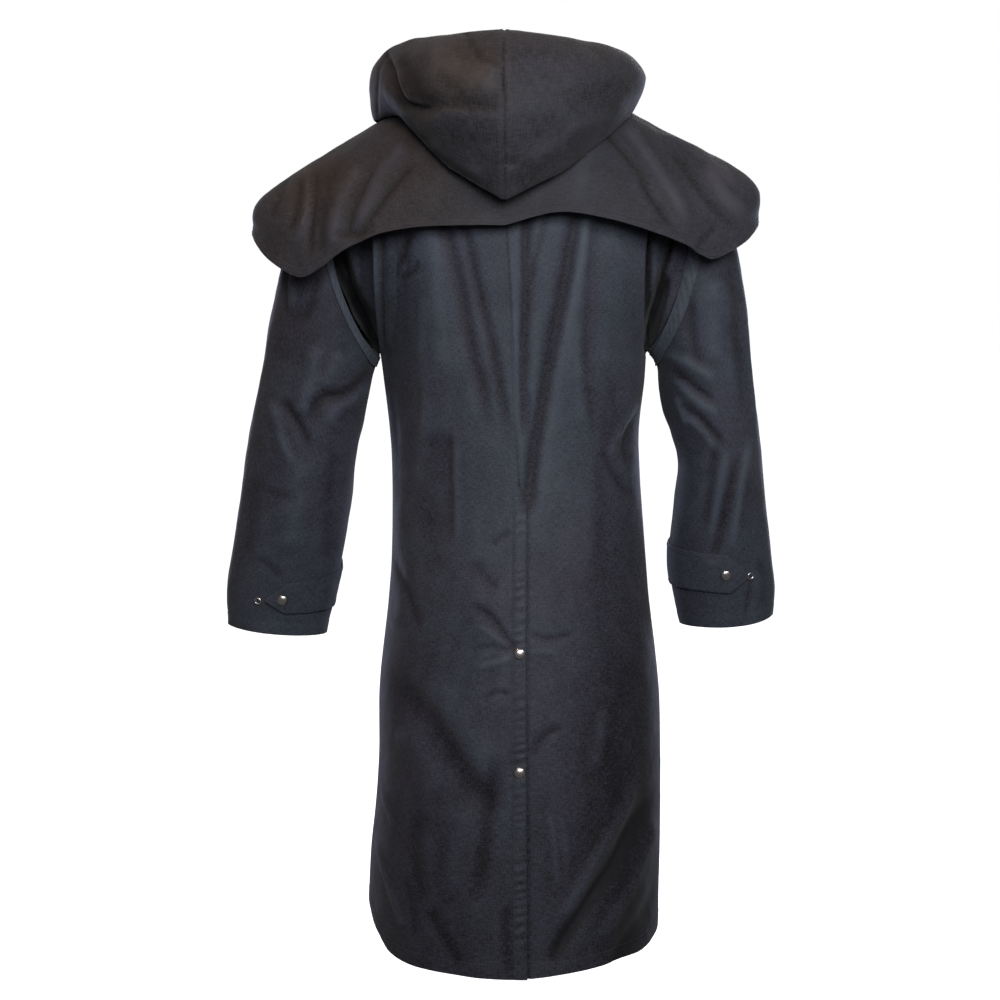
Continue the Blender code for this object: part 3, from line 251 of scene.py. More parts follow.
# The shoulder cape, from the centre back to its front edge: turn round the neck in degrees, then a point on
# the shoulder, the point where the cape turns down, and the hem.
CAPE = {
    -1: np.array((
        (0, 0.010, -0.1150, -0.064, 0.010, -0.1600, -0.140, 0.010, -0.1780, -0.2170),
        (20, 0.050, -0.1130, -0.066, 0.066, -0.1580, -0.142, 0.072, -0.1760, -0.2175),
        (40, 0.088, -0.1050, -0.068, 0.125, -0.1500, -0.148, 0.138, -0.1680, -0.2200),
        (55, 0.118, -0.0900, -0.068, 0.175, -0.1360, -0.158, 0.196, -0.1560, -0.2313),
        (67, 0.143, -0.0700, -0.064, 0.226, -0.1180, -0.172, 0.250, -0.1380, -0.2583),
        (77, 0.165, -0.0460, -0.060, 0.276, -0.0970, -0.180, 0.298, -0.1150, -0.2879),
        (84, 0.182, -0.0230, -0.058, 0.328, -0.0560, -0.172, 0.354, -0.0680, -0.2600),
        (90, 0.200, 0.0000, -0.063, 0.364, 0.0000, -0.165, 0.384, 0.0000, -0.2247),
        (98, 0.190, 0.0280, -0.064, 0.346, 0.0560, -0.166, 0.372, 0.0640, -0.2380),
        (110, 0.172, 0.0600, -0.074, 0.296, 0.1010, -0.178, 0.322, 0.1180, -0.2640),
        (124, 0.148, 0.0910, -0.092, 0.236, 0.1390, -0.192, 0.256, 0.1600, -0.2840),
        (138, 0.114, 0.1180, -0.114, 0.168, 0.1660, -0.202, 0.180, 0.1860, -0.2960),
        (150, 0.078, 0.1350, -0.136, 0.104, 0.1780, -0.214, 0.110, 0.1930, -0.3020),
        (156, 0.052, 0.1400, -0.146, 0.056, 0.1820, -0.220, 0.056, 0.1950, -0.3040),
    )),
    1: np.array((
        (0, -0.010, -0.1150, -0.064, -0.010, -0.1600, -0.140, -0.010, -0.1780, -0.2170),
        (20, 0.034, -0.1130, -0.064, 0.052, -0.1580, -0.134, 0.060, -0.1760, -0.1995),
        (40, 0.080, -0.1050, -0.066, 0.112, -0.1510, -0.142, 0.122, -0.1700, -0.2060),
        (55, 0.116, -0.0900, -0.066, 0.172, -0.1370, -0.154, 0.194, -0.1560, -0.2250),
        (67, 0.143, -0.0700, -0.062, 0.226, -0.1170, -0.164, 0.250, -0.1360, -0.2460),
        (77, 0.165, -0.0460, -0.058, 0.266, -0.0960, -0.170, 0.283, -0.1120, -0.2626),
        (84, 0.182, -0.0230, -0.056, 0.315, -0.0560, -0.156, 0.335, -0.0680, -0.2370),
        (90, 0.198, 0.0000, -0.0600, 0.350, 0.0000, -0.1415, 0.3635, 0.0000, -0.2100),
        (98, 0.190, 0.0280, -0.0610, 0.332, 0.0560, -0.150, 0.352, 0.0640, -0.2260),
        (110, 0.172, 0.0600, -0.072, 0.286, 0.1010, -0.168, 0.308, 0.1180, -0.2560),
        (124, 0.148, 0.0910, -0.090, 0.230, 0.1390, -0.186, 0.248, 0.1600, -0.2800),
        (138, 0.114, 0.1180, -0.112, 0.166, 0.1660, -0.200, 0.178, 0.1860, -0.2950),
        (150, 0.078, 0.1350, -0.134, 0.103, 0.1780, -0.212, 0.109, 0.1930, -0.3020),
        (156, 0.052, 0.1400, -0.144, 0.056, 0.1820, -0.219, 0.056, 0.1950, -0.3040),
    )),
}

# The hood, thrown back. Each row is an upright cut at a turn round the neck: the turn, then reach from the
# middle and height of eight points, from beside the neck out, down, round and up to the rolled rim.
HOOD = {
    -1: np.array((
        (0, 0.128, -0.048, 0.172, -0.120, 0.196, -0.180, 0.212, -0.170, 0.246, -0.078, 0.226, 0.003,
         0.166, 0.048, 0.126, 0.040),
        (24, 0.126, -0.048, 0.158, -0.092, 0.180, -0.136, 0.198, -0.128, 0.232, -0.060, 0.216, 0.003,
         0.162, 0.045, 0.126, 0.038),
        (42, 0.124, -0.042, 0.146, -0.066, 0.168, -0.094, 0.186, -0.088, 0.214, -0.042, 0.202, 0.006,
         0.160, 0.044, 0.128, 0.037),
        (60, 0.126, -0.034, 0.144, -0.046, 0.162, -0.060, 0.180, -0.056, 0.198, -0.026, 0.190, 0.010,
         0.162, 0.044, 0.134, 0.038),
        (90, 0.140, -0.026, 0.162, -0.044, 0.182, -0.060, 0.192, -0.056, 0.1955, -0.022, 0.193, 0.008,
         0.180, 0.027, 0.164, 0.026),
        (120, 0.130, -0.046, 0.146, -0.056, 0.163, -0.066, 0.175, -0.060, 0.182, -0.038, 0.180, -0.018,
         0.170, 0.000, 0.154, 0.000),
        (145, 0.112, -0.070, 0.123, -0.079, 0.136, -0.089, 0.146, -0.084, 0.150, -0.066, 0.147, -0.052,
         0.139, -0.040, 0.127, -0.041),
        (156, 0.104, -0.079, 0.110, -0.084, 0.118, -0.091, 0.126, -0.088, 0.130, -0.076, 0.128, -0.066,
         0.122, -0.058, 0.113, -0.060),
    )),
    1: np.array((
        (0, 0.128, -0.048, 0.172, -0.120, 0.196, -0.180, 0.212, -0.170, 0.246, -0.078, 0.226, 0.003,
         0.166, 0.048, 0.126, 0.040),
        (24, 0.126, -0.048, 0.162, -0.098, 0.188, -0.142, 0.204, -0.134, 0.236, -0.064, 0.220, 0.001,
         0.166, 0.042, 0.128, 0.036),
        (42, 0.124, -0.042, 0.150, -0.074, 0.174, -0.108, 0.192, -0.102, 0.220, -0.046, 0.208, 0.002,
         0.168, 0.038, 0.134, 0.034),
        (60, 0.126, -0.034, 0.150, -0.056, 0.174, -0.078, 0.190, -0.072, 0.211, -0.030, 0.203, 0.004,
         0.176, 0.035, 0.146, 0.031),
        (90, 0.140, -0.022, 0.163, -0.034, 0.181, -0.043, 0.192, -0.036, 0.203, -0.008, 0.203, 0.006,
         0.190, 0.022, 0.172, 0.022),
        (120, 0.130, -0.044, 0.148, -0.054, 0.166, -0.064, 0.178, -0.058, 0.186, -0.036, 0.184, -0.018,
         0.174, -0.002, 0.158, -0.002),
        (145, 0.112, -0.070, 0.123, -0.079, 0.136, -0.089, 0.146, -0.084, 0.150, -0.066, 0.147, -0.052,
         0.139, -0.040, 0.127, -0.041),
        (156, 0.104, -0.079, 0.110, -0.084, 0.118, -0.091, 0.126, -0.088, 0.130, -0.076, 0.128, -0.066,
         0.122, -0.058, 0.113, -0.060),
    )),
}

# The cuff straps: turns round the sleeve of the sewn end and the tip, and the sleeve rows that the strap's
# two edges follow at turn 180 and at turn 90.
Strap = namedtuple("Strap", "start tip top foot")
STRAPS = {
    -1: Strap(222, 80, (9.90, 10.55), (10.95, 11.30)),
    1: Strap(222, 66, (9.95, 10.21), (11.00, 11.05)),
}

# Folds that show from behind. points are places in the frame, left and right the half widths there on each
# side of the line (as it is drawn; the right of a line drawn down is the right), height how far the fold
# stands out in millimetres, below 0 for a trough, and power how round it is: 2 is round and 1 sharp.
Fold = namedtuple("Fold", "points left right height power")


def folds(*rows):
    """Folds from rows of their values."""
    return [Fold(np.array(row[0], float), *row[1:]) for row in rows]


BACK_FOLDS = folds(
    (((436, 190), (443, 220), (459, 283), (468, 336), (482, 390), (492, 440)), 8, 9, -3.4, 2),
    (((455, 190), (466, 240), (480, 300), (492, 352), (502, 405), (510, 455)), 6, 7, -3.0, 2),
    (((526, 190), (525, 230), (525, 300), (523, 360), (523, 412), (525, 450)), 4, 7, -4.4, 1.7),
    (((554, 190), (544, 226), (534, 262), (530, 290)), 4, 4, -1.5, 2),
    (((584, 190), (575, 225), (566, 280), (557, 325), (547, 380), (536, 440), (529, 500), (526, 520)),
     9, 7, -6.0, 1.8),
    (((590, 190), (584, 240), (574, 300), (562, 370)), 6, 8, 1.6, 2),
    (((598, 190), (593, 250), (588, 335), (590, 390), (600, 450)), 6, 12, -2.6, 2),
    (((530, 390), (528, 430)), 2.5, 2.5, -1.2, 2),
    (((424, 200), (432, 260), (440, 330), (450, 400)), 12, 12, 2.4, 2),
    (((512, 230), (514, 300), (517, 370)), 6, 4, 0.8, 2),
    (((394, 190), (394, 300), (396, 400), (398, 520)), 40, 18, -4.0, 4),
    (((416, 250), (415, 340), (417, 400), (414, 460)), 5, 4, -1.2, 2),
    (((376, 190), (375, 260), (376, 330), (382, 380)), 7, 9, -2.6, 2),
    (((446, 424), (447, 480), (448, 556)), 26, 6, -3.4, 3.0),
    (((412, 470), (424, 530), (440, 580)), 14, 12, -2.0, 2),
    (((386, 222), (385, 256)), 4, 4, -1.8, 2),
    (((412, 226), (400, 258), (388, 282)), 5, 4, -2.4, 1.8),
    (((418, 258), (412, 272), (396, 281)), 3, 3, -1.8, 1.8),
    (((392, 270), (404, 266)), 5, 4, 1.4, 2),
    (((645, 402), (630, 424), (624, 448), (630, 476)), 3, 6, -2.6, 1.6),
    (((638, 404), (620, 432), (612, 460)), 4, 4, 1.6, 2),
    (((600, 446), (614, 474), (630, 500)), 3, 4, -1.6, 1.8),
    (((614, 350), (608, 430), (602, 520), (598, 600)), 9, 14, -1.8, 2),
    (((466, 604), (486, 612), (500, 628), (511, 644), (518, 652)), 7, 3.5, -2.4, 1.7),
    (((476, 624), (494, 636), (512, 650)), 2.5, 3, 1.3, 2),
    (((468, 650), (490, 647), (512, 651)), 3, 3, -1.4, 1.8),
    (((474, 668), (494, 664), (516, 655)), 3.5, 3.5, 1.5, 2),
    (((482, 704), (494, 693), (514, 695)), 3, 3, -1.6, 1.7),
    (((490, 548), (500, 538), (513, 532)), 3, 4, -1.7, 1.7),
    (((470, 560), (486, 580), (500, 590)), 8, 8, -1.6, 2),
    (((528, 633), (548, 639), (580, 632)), 4, 3, -1.4, 1.8),
    (((528, 655), (545, 652), (562, 656)), 3, 3, 0.9, 2),
    (((386, 540), (396, 566), (410, 600), (420, 640)), 4, 6, -2.6, 1.7),
    (((382, 600), (392, 622), (408, 640)), 3, 3, 1.4, 2),
    (((384, 668), (404, 690), (428, 718), (446, 746), (464, 774), (486, 800), (500, 820)), 15, 12, -4.4, 2),
    (((424, 670), (450, 708), (474, 744), (500, 770)), 16, 16, 1.8, 2),
    (((400, 720), (420, 760), (440, 800)), 14, 14, 1.8, 2),
    (((496, 750), (486, 812), (482, 858), (470, 910)), 7, 10, -2.4, 2),
    (((424, 806), (414, 850), (424, 910)), 8, 8, -2.2, 2),
    (((456, 800), (458, 850), (452, 900)), 12, 12, 1.8, 2),
    (((530, 762), (544, 738), (566, 726)), 4, 6, -1.8, 1.8),
    (((604, 700), (600, 740), (592, 776)), 6, 6, 1.4, 2),
    (((548, 806), (555, 850), (558, 894)), 3, 3, 1.5, 2),
    (((560, 810), (566, 850), (566, 890)), 3, 3, 1.0, 2),
    (((640, 770), (622, 818), (599, 858), (578, 898), (560, 930)), 8, 6, 3.4, 1.8),
    (((662, 776), (634, 822), (613, 864), (586, 905), (562, 944), (550, 970)), 9, 8, -6.4, 1.8),
    (((664, 812), (650, 838), (633, 881), (612, 918), (590, 950)), 7, 7, 3.6, 1.8),
    (((668, 850), (650, 905), (624, 945), (610, 975)), 8, 14, -4.0, 2),
    (((377, 770), (383, 794), (396, 832)), 2.6, 2.6, 2.0, 2),
    (((372, 826), (384, 870), (398, 914), (402, 930)), 2.6, 3, 2.0, 2),
    (((426, 905), (436, 926), (450, 950), (462, 972)), 5, 8, -2.2, 2),
    (((404, 870), (412, 910), (416, 940)), 5, 5, -1.8, 2),
    (((506, 900), (505, 940), (509, 985)), 5, 5, -1.8, 2),
)
CAPE_FOLDS = folds(
    (((408, 140), (396, 156), (378, 177), (366, 205), (352, 236)), 7, 8, 3.4, 2),
    (((420, 156), (398, 180), (380, 202), (360, 230), (350, 244)), 5, 5, -3.2, 1.8),
    (((362, 162), (350, 184), (336, 214), (330, 252)), 7, 6, 3.2, 2),
    (((382, 160), (366, 186), (352, 216), (346, 240)), 4, 4, -2.0, 2),
    (((334, 166), (322, 210), (320, 262)), 6, 6, -2.2, 2),
    (((306, 164), (309, 186), (306, 214), (294, 246)), 2.6, 3.4, 3.6, 2),
    (((311, 168), (314, 192), (310, 222), (308, 262)), 3, 3.5, -4.0, 1.7),
    (((301, 176), (298, 200), (290, 236)), 3, 3, -3.0, 1.8),
    (((290, 172), (277, 204), (270, 222)), 3, 3, -2.4, 1.7),
    (((328, 232), (356, 236), (378, 226)), 5, 5, -1.6, 2),
    (((598, 120), (614, 140), (638, 168), (650, 192), (664, 212), (684, 240)), 5, 4, -4.0, 1.7),
    (((618, 120), (636, 140), (655, 168), (674, 196), (694, 232)), 5, 6, 3.4, 2),
    (((668, 148), (684, 166), (700, 188), (716, 206), (742, 234)), 5, 5, -3.2, 1.8),
    (((656, 128), (690, 147), (714, 166), (742, 190)), 5, 5, 2.6, 2),
    (((590, 132), (584, 170), (578, 214)), 14, 14, 2.4, 2),
    (((704, 162), (722, 190), (750, 222)), 5, 5, 2.4, 2),
    (((720, 222), (704, 240), (694, 254)), 3, 3, -1.4, 1.7),
)
HOOD_FOLDS = folds(
    (((422, 60), (446, 66), (476, 76), (506, 88)), 16, 22, 5.0, 2),
    (((398, 52), (408, 72), (420, 96), (440, 112)), 12, 9, -5.4, 2),
    (((414, 109), (440, 106), (470, 107), (510, 110)), 5, 12, -2.6, 1.8),
    (((464, 28), (472, 42), (484, 58)), 3, 3, -2.6, 1.7),
    (((474, 56), (486, 60), (506, 66)), 3, 3, -1.4, 1.7),
    (((380, 34), (388, 60), (392, 78), (397, 93), (405, 104), (422, 110), (446, 112)), 5, 3, -7.0, 1.4),
    (((398, 40), (382, 60), (377, 88), (378, 130)), 1.4, 1.4, -1.6, 1.6),
    (((503, 163), (518, 163)), 1.6, 2.2, -1.8, 1.7),
    (((503, 171), (517, 168)), 2.5, 2.5, 1.0, 2),
    (((404, 112), (420, 140), (450, 168), (500, 198)), 9, 5, -1.8, 2),
    (((426, 140), (455, 160), (490, 178)), 6, 9, 1.5, 2),
    (((560, 110), (600, 92), (640, 84)), 14, 14, -2.0, 2),
    (((520, 168), (560, 138), (610, 102)), 10, 12, 2.4, 2),
    (((606, 48), (632, 66), (640, 84)), 6, 6, 1.6, 2),
)
PLEAT_FOLDS = {
    -1: folds(
        (((329, 210), (337, 256), (341, 266), (351, 298), (360, 316), (368, 335), (380, 356), (398, 390)),
         8, 8, -24.0, 4),
        (((340, 280), (353, 304), (364, 322), (376, 350), (396, 390)), 11, 11, -24.0, 4),
        (((364, 230), (360, 270), (362, 300)), 3, 3, -1.6, 2),
        (((352, 240), (354, 268)), 3, 3, 1.6, 2),
    ),
    1: folds(
        (((679, 205), (672, 241), (666, 264), (658, 286), (652, 308), (650, 342), (649, 372)), 2.6, 2.4, -8.0, 1.6),
        (((646, 200), (647, 300), (648, 390)), 4, 4, -8.0, 2),
        (((668, 270), (656, 310), (649, 340), (646, 380)), 5, 6, -22.0, 3),
        (((660, 230), (656, 260), (650, 300)), 4, 4, 2.0, 2),
    ),
}
SLEEVE_FOLDS = {
    -1: folds(
        (((382, 350), (360, 382), (344, 394), (324, 398), (314, 408), (308, 430)), 6, 6, -4.0, 1.7),
        (((380, 376), (358, 396), (336, 412), (326, 430)), 6, 6, 2.2, 2),
        (((280, 396), (290, 412), (300, 428), (312, 456)), 5, 5, -3.0, 1.8),
        (((270, 396), (277, 420), (284, 446), (296, 470)), 5, 5, 2.4, 2),
        (((312, 340), (314, 368), (306, 398), (302, 420)), 8, 8, 2.4, 2),
        (((342, 350), (332, 372), (320, 388)), 7, 7, 1.8, 2),
        (((298, 258), (293, 284), (292, 314)), 3.5, 3.5, 2.0, 2),
        (((287, 262), (286, 290), (287, 320)), 3, 3, -1.6, 2),
        (((318, 270), (312, 300), (300, 326)), 5, 5, -1.2, 2),
        (((336, 440), (331, 500), (326, 570)), 8, 8, -2.0, 2),
        (((300, 450), (296, 505), (290, 560)), 14, 14, 2.2, 2),
        (((256, 470), (250, 520), (246, 570)), 8, 8, -2.0, 2),
        (((254, 556), (268, 566), (284, 580)), 4, 4, -1.4, 1.8),
        (((258, 486), (276, 494), (300, 500)), 4, 4, -1.0, 2),
    ),
    1: folds(
        (((660, 350), (680, 360), (700, 370), (718, 384)), 5, 5, 2.4, 2),
        (((668, 366), (685, 380), (700, 392), (716, 402)), 4, 4, -3.2, 1.8),
        (((672, 378), (690, 396), (706, 408), (722, 416)), 4, 4, 2.0, 2),
        (((678, 402), (698, 418), (712, 432), (726, 448)), 4, 4, -3.2, 1.8),
        (((684, 414), (704, 434), (716, 452)), 4, 4, 1.4, 2),
        (((675, 394), (680, 410), (688, 428)), 3, 3, 1.8, 2),
        (((688, 286), (690, 320), (694, 350), (702, 374)), 6, 6, -1.8, 2),
        (((716, 270), (716, 320), (712, 370)), 12, 12, 2.0, 2),
        (((716, 440), (710, 480), (704, 530)), 5, 5, -1.8, 2),
        (((742, 446), (730, 495), (720, 535), (712, 566)), 5, 4, -2.8, 1.8),
        (((728, 446), (719, 490), (708, 550)), 5, 5, 2.0, 2),
        (((752, 430), (744, 470), (736, 520), (730, 556)), 4, 4, 2.0, 2),
        (((735, 240), (746, 297), (752, 365), (760, 450)), 3.5, 3.5, 1.6, 2),
        (((730, 240), (735, 300), (740, 365), (748, 430)), 6, 6, -2.2, 2),
        (((752, 568), (750, 590), (745, 622)), 2.6, 2.6, -1.8, 1.7),
        (((757, 556), (764, 580), (762, 612)), 4, 4, -1.2, 2),
    ),
}

# Folds of the front, from a top to a bottom place: x and z of both, half width and height.
FRONT_FOLDS = (
    (-0.120, -0.300, -0.090, -0.640, 0.026, -0.0060),
    (0.120, -0.300, 0.090, -0.640, 0.026, -0.0060),
    (-0.105, -0.760, -0.130, -1.290, 0.032, 0.0090),
    (0.105, -0.760, 0.135, -1.290, 0.032, 0.0090),
    (-0.165, -0.420, -0.150, -0.900, 0.020, -0.0030),
    (0.165, -0.420, 0.150, -0.900, 0.020, -0.0030),
    (-0.060, -0.640, -0.066, -1.000, 0.018, -0.0024),
    (0.075, -0.620, 0.070, -1.050, 0.018, -0.0024),
)
LAP_CLEAR = (0.040, 0.075)

# Folds down the sides of the cape: turn round the neck in degrees and height.
CAPE_SIDE_FOLDS = ((116, 0.006), (-116, 0.006), (134, -0.004), (-134, -0.004), (100, -0.004), (-100, -0.004))

# Soft patches of painted shade (below 0) and painted light (above 0): middle in the frame, half sizes and depth.
BODY_PAINTED_PATCHES = (
    (634, 690, 54, 180, -1.25),
    (645, 890, 70, 110, -1.35),
    (408, 600, 40, 90, -0.25),
    (500, 290, 80, 60, -0.25),
    (500, 1000, 160, 90, -0.45),
    (480, 880, 130, 110, -0.30),
    (430, 760, 60, 140, -0.15),
    (384, 310, 26, 130, -0.60),
    (640, 470, 40, 100, -0.40),
    (604, 250, 30, 60, 0.25),
)
CAPE_PAINTED_PATCHES = (
    (410, 195, 60, 46, -0.75),
    (290, 190, 40, 50, -0.15),
    (720, 200, 36, 40, 0.60),
)
HOOD_PAINTED_SHADE = (
    (400, 84, 26, 42, -1.60),
    (446, 136, 56, 28, -0.55),
    (470, 74, 44, 30, -0.35),
    (640, 100, 30, 24, -0.50),
)
SLEEVE_PAINTED_SHADE = {
    -1: (
        (310, 310, 54, 64, -1.00),
        (290, 450, 60, 110, -0.40),
        (345, 395, 22, 50, -0.40),
    ),
    1: (
        (668, 330, 14, 70, -0.45),
        (700, 560, 60, 80, -0.35),
        (716, 320, 40, 80, -0.20),
    ),
}


def smooth_step(low, high, value):
    """0 below low, 1 above high, and a smooth rise between."""
    share = np.clip((value - low) / (high - low), 0.0, 1.0)
    return share * share * (3 - 2 * share)


def curve(rows, places):
    """Points on the smooth curve through rows, at places counted along their first axis."""
    rows = np.asarray(rows, float)
    places = np.asarray(places, float)
    last = len(rows) - 1
    first = np.clip(np.floor(places.ravel()).astype(int), 0, last - 1)
    t = (places.ravel() - first).reshape((-1,) + (1,) * (rows.ndim - 1))
    ends = np.concatenate([2 * rows[:1] - rows[1:2], rows, 2 * rows[-1:] - rows[-2:-1]])
    a, b = ends[first + 1], ends[first + 2]
    slope_a, slope_b = (b - ends[first]) / 2, (ends[first + 3] - a) / 2
    t2, t3 = t * t, t * t * t
    found = a * (2 * t3 - 3 * t2 + 1) + slope_a * (t3 - 2 * t2 + t) + b * (3 * t2 - 2 * t3) + slope_b * (t3 - t2)
    return found.reshape(places.shape + rows.shape[1:])


def place_of(column, value):
    """The place along a table where one of its rising columns has that value."""
    places = np.linspace(0, len(column) - 1, 40 * len(column))
    return np.interp(value, curve(column, places), places)


def finer(grid, rows, columns):
    """A grid of points drawn with more rows and columns, on smooth curves through it."""
    tall = curve(grid, np.linspace(0, len(grid) - 1, rows))
    wide = curve(tall.swapaxes(0, 1), np.linspace(0, grid.shape[1] - 1, columns))
    return wide.swapaxes(0, 1)


def point(x, y, z):
    """Points from their coordinates, numbers or grids of them."""
    return np.stack(np.broadcast_arrays(x, y, z), -1)


def unit(vectors):
    """Vectors at length 1."""
    return vectors / np.maximum(np.linalg.norm(vectors, axis=-1, keepdims=True), 1e-12)


def normals_of(grid, out, closed=False):
    """Unit normals of a grid of points, on the side that out says. closed joins its last column to its first."""
    if closed:
        wide = np.concatenate([grid[:, -1:], grid, grid[:, :1]], 1)
        around = (wide[:, 2:] - wide[:, :-2]) / 2
    else:
        around = np.gradient(grid, axis=1)
    found = unit(np.cross(around, np.gradient(grid, axis=0)))
    return found if np.sum(found * out) > 0 else -found


def blurred(values, passes, closed=False):
    """Values on a grid, evened out with their neighbours."""
    mode = "wrap" if closed else "edge"
    for _ in range(passes):
        wide = np.pad(values, ((0, 0), (1, 1)), mode=mode)
        values = (wide[:, :-2] + 2 * wide[:, 1:-1] + wide[:, 2:]) / 4
        tall = np.pad(values, ((1, 1), (0, 0)), mode="edge")
        values = (tall[:-2] + 2 * tall[1:-1] + tall[2:]) / 4
    return values


def seen(points):
    """Where points show in the frame: across and down."""
    offset = points - EYE
    depth = offset @ AHEAD
    return np.stack([500 + FOCAL * offset[..., 0] / depth, 500 - FOCAL * (offset @ UPWARD) / depth], -1)


def toward_eye(points, normals):
    """How squarely the cloth faces the camera's place: 1 square on, 0 side on."""
    return np.sum(unit(EYE - points) * normals, -1)


def line_distance(places, line):
    """For places near a line: distance, side (1 on its right) and share of the way along."""
    start, step = line[:-1], np.diff(line, axis=0)
    share = np.clip(np.sum((places[:, None] - start) * step, -1) / np.sum(step * step, -1), 0, 1)
    off = places[:, None] - start - step * share[..., None]
    distance = np.hypot(off[..., 0], off[..., 1])
    nearest = distance.argmin(1)
    pick = (np.arange(len(places)), nearest)
    turn = step[nearest, 0] * off[pick][:, 1] - step[nearest, 1] * off[pick][:, 0]
    return distance[pick], np.where(turn < 0, 1, -1), (nearest + share[pick]) / len(step)


def fold_relief(places, rows):
    """How far the folds in rows stand out of the cloth at places in the frame, in metres."""
    flat = places.reshape(-1, 2)
    total = np.zeros(len(flat))
    for row in rows:
        line = curve(row.points, np.linspace(0, len(row.points) - 1, 5 * len(row.points)))
        reach = 2.6 * max(row.left, row.right)
        near = np.nonzero(np.all((flat > line.min(0) - reach) & (flat < line.max(0) + reach), axis=1))[0]
        if len(near):
            distance, side, along = line_distance(flat[near], line)
            width = np.where(side > 0, row.right, row.left)
            ends = smooth_step(0, 0.22, along) * smooth_step(0, 0.22, 1 - along)
            total[near] += row.height * np.exp(-((distance / width) ** row.power)) * ends
    return total.reshape(places.shape[:-1]) / 1000 * FOLD_SCALE


def painted_patches(places, rows):
    """The soft patches of painted shade and light in rows, summed at places in the frame."""
    total = np.zeros(places.shape[:-1])
    for x, y, half_x, half_y, depth in rows:
        total += depth * np.exp(-(((places[..., 0] - x) / half_x) ** 2 + ((places[..., 1] - y) / half_y) ** 2))
    return total


def ripple(places, spread, height, seed):
    """Soft uneven waves for the small crumples of waxed cloth, in metres. places are in metres."""
    random = np.random.RandomState(seed)
    total = np.zeros(places.shape[:-1])
    for _ in range(14):
        way = unit(random.normal(size=places.shape[-1]))
        pace = 2 * math.pi / (spread * random.uniform(0.6, 1.8))
        total += np.sin(places @ way * pace + random.uniform(0, 2 * math.pi))
    return total / 14 * height


def arc_lengths(grid, axis):
    """Distance walked along a grid's rows or columns from its start."""
    pieces = np.linalg.norm(np.diff(grid, axis=axis), axis=-1)
    start = np.zeros_like(np.take(pieces, [0], axis=axis))
    return np.concatenate([start, np.cumsum(pieces, axis=axis)], axis=axis)


def line_in(grid, distance, axis, from_end=False):
    """The line of points in a grid that keeps a distance from its first row or column, or from its last."""
    if from_end:
        grid = np.flip(grid, axis)
    walk = arc_lengths(grid[..., :3], axis)
    if axis == 0:
        grid, walk = grid.swapaxes(0, 1), walk.T
    found = []
    for row, along in zip(grid, walk):
        found.append([np.interp(distance, along, row[:, k]) for k in range(row.shape[1])])
    return np.array(found)


def numbered(rows, columns, closed=False):
    """The numbers of a grid's points. closed joins its last column to its first."""
    index = np.arange(rows * columns).reshape(rows, columns)
    return np.concatenate([index, index[:, :1]], 1) if closed else index


def quads_of(index):
    """The faces between a grid of numbered points."""
    return np.stack([index[:-1, :-1], index[:-1, 1:], index[1:, 1:], index[1:, :-1]], -1).reshape(-1, 4)


def wall_faces(rows, columns, closed):
    """The faces of a cloth wall: its outer skin, its inner skin and the edges between them."""
    count = rows * columns
    index = numbered(rows, columns, closed)
    quads = [quads_of(index)]
    quads.append(quads[0][:, ::-1] + count)
    borders = [(index[0, 1:], index[0, :-1]), (index[-1, :-1], index[-1, 1:])]
    if not closed:
        borders += [(index[:-1, 0], index[1:, 0]), (index[1:, -1], index[:-1, -1])]
    for near, far in borders:
        quads.append(np.stack([near, far, far + count, near + count], -1))
    return np.concatenate(quads)


def lay_flat(mesh, outer):
    """Gives a cloth wall its flat layout in metres, for the weave."""
    width, height = arc_lengths(outer, 1), arc_lengths(outer, 0)
    width, height = np.broadcast_arrays(width.mean(0)[None], height.mean(1)[:, None])
    flat = np.tile(np.stack([width, height], -1).reshape(-1, 2), (2, 1))
    loops = np.zeros(len(mesh.loops), np.int32)
    mesh.loops.foreach_get("vertex_index", loops)
    layer = mesh.uv_layers.new(name="cloth")
    layer.data.foreach_set("uv", flat[loops].astype(np.float32).ravel())


def placed(name, mesh, material):
    """An object in one finish, which moves with the coat."""
    made = bpy.data.objects.new(name, mesh)
    made.data.materials.append(material)
    bpy.context.scene.collection.objects.link(made)
    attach(made, "root")
    return made


def cloth(name, outer, normals, finish, wall=WALL, closed=False, shade_and_wear_marks=None, parts=()):
    """A piece of cloth with two skins and its edges, from a grid of outer points and its normals. The shade and wear
    values set each point's painted shade and light, from -1 in troughs, which get painted shade, to 1 on crests,
    which get painted highlight along with wear. parts are the solids it stands for."""
    rows, columns = outer.shape[:2]
    corners = np.concatenate([outer.reshape(-1, 3), (outer - normals * wall).reshape(-1, 3)])
    faces = wall_faces(rows, columns, closed)
    middle = rows // 2, columns // 2
    across = outer[middle[0], middle[1] + 1] - outer[middle]
    up = outer[middle[0] + 1, middle[1]] - outer[middle]
    if np.dot(np.cross(across, up), normals[middle]) < 0:
        faces = faces[:, ::-1]
    mesh = bpy.data.meshes.new(name)
    mesh.from_pydata(corners.tolist(), [], faces.tolist())
    lay_flat(mesh, outer)
    shade_and_wear = np.zeros((rows, columns)) if shade_and_wear_marks is None else shade_and_wear_marks
    attribute = mesh.attributes.new("shade_and_wear", "FLOAT", "POINT")
    attribute.data.foreach_set("value", np.tile(shade_and_wear.reshape(-1), 2).astype(np.float32))
    mesh.shade_smooth()
    mesh.set_sharp_from_angle(angle=math.radians(60))
    made = placed(name, mesh, FINISHES[finish])
    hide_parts(*parts)
    return made


def tree_of(grids, closed=False):
    """The outer skins of some pieces, to lay or seat another piece on."""
    corners, faces = [], []
    for grid in grids:
        faces += (quads_of(numbered(*grid.shape[:2], closed)) + len(corners)).tolist()
        corners += grid.reshape(-1, 3).tolist()
    return BVHTree.FromPolygons(corners, faces)


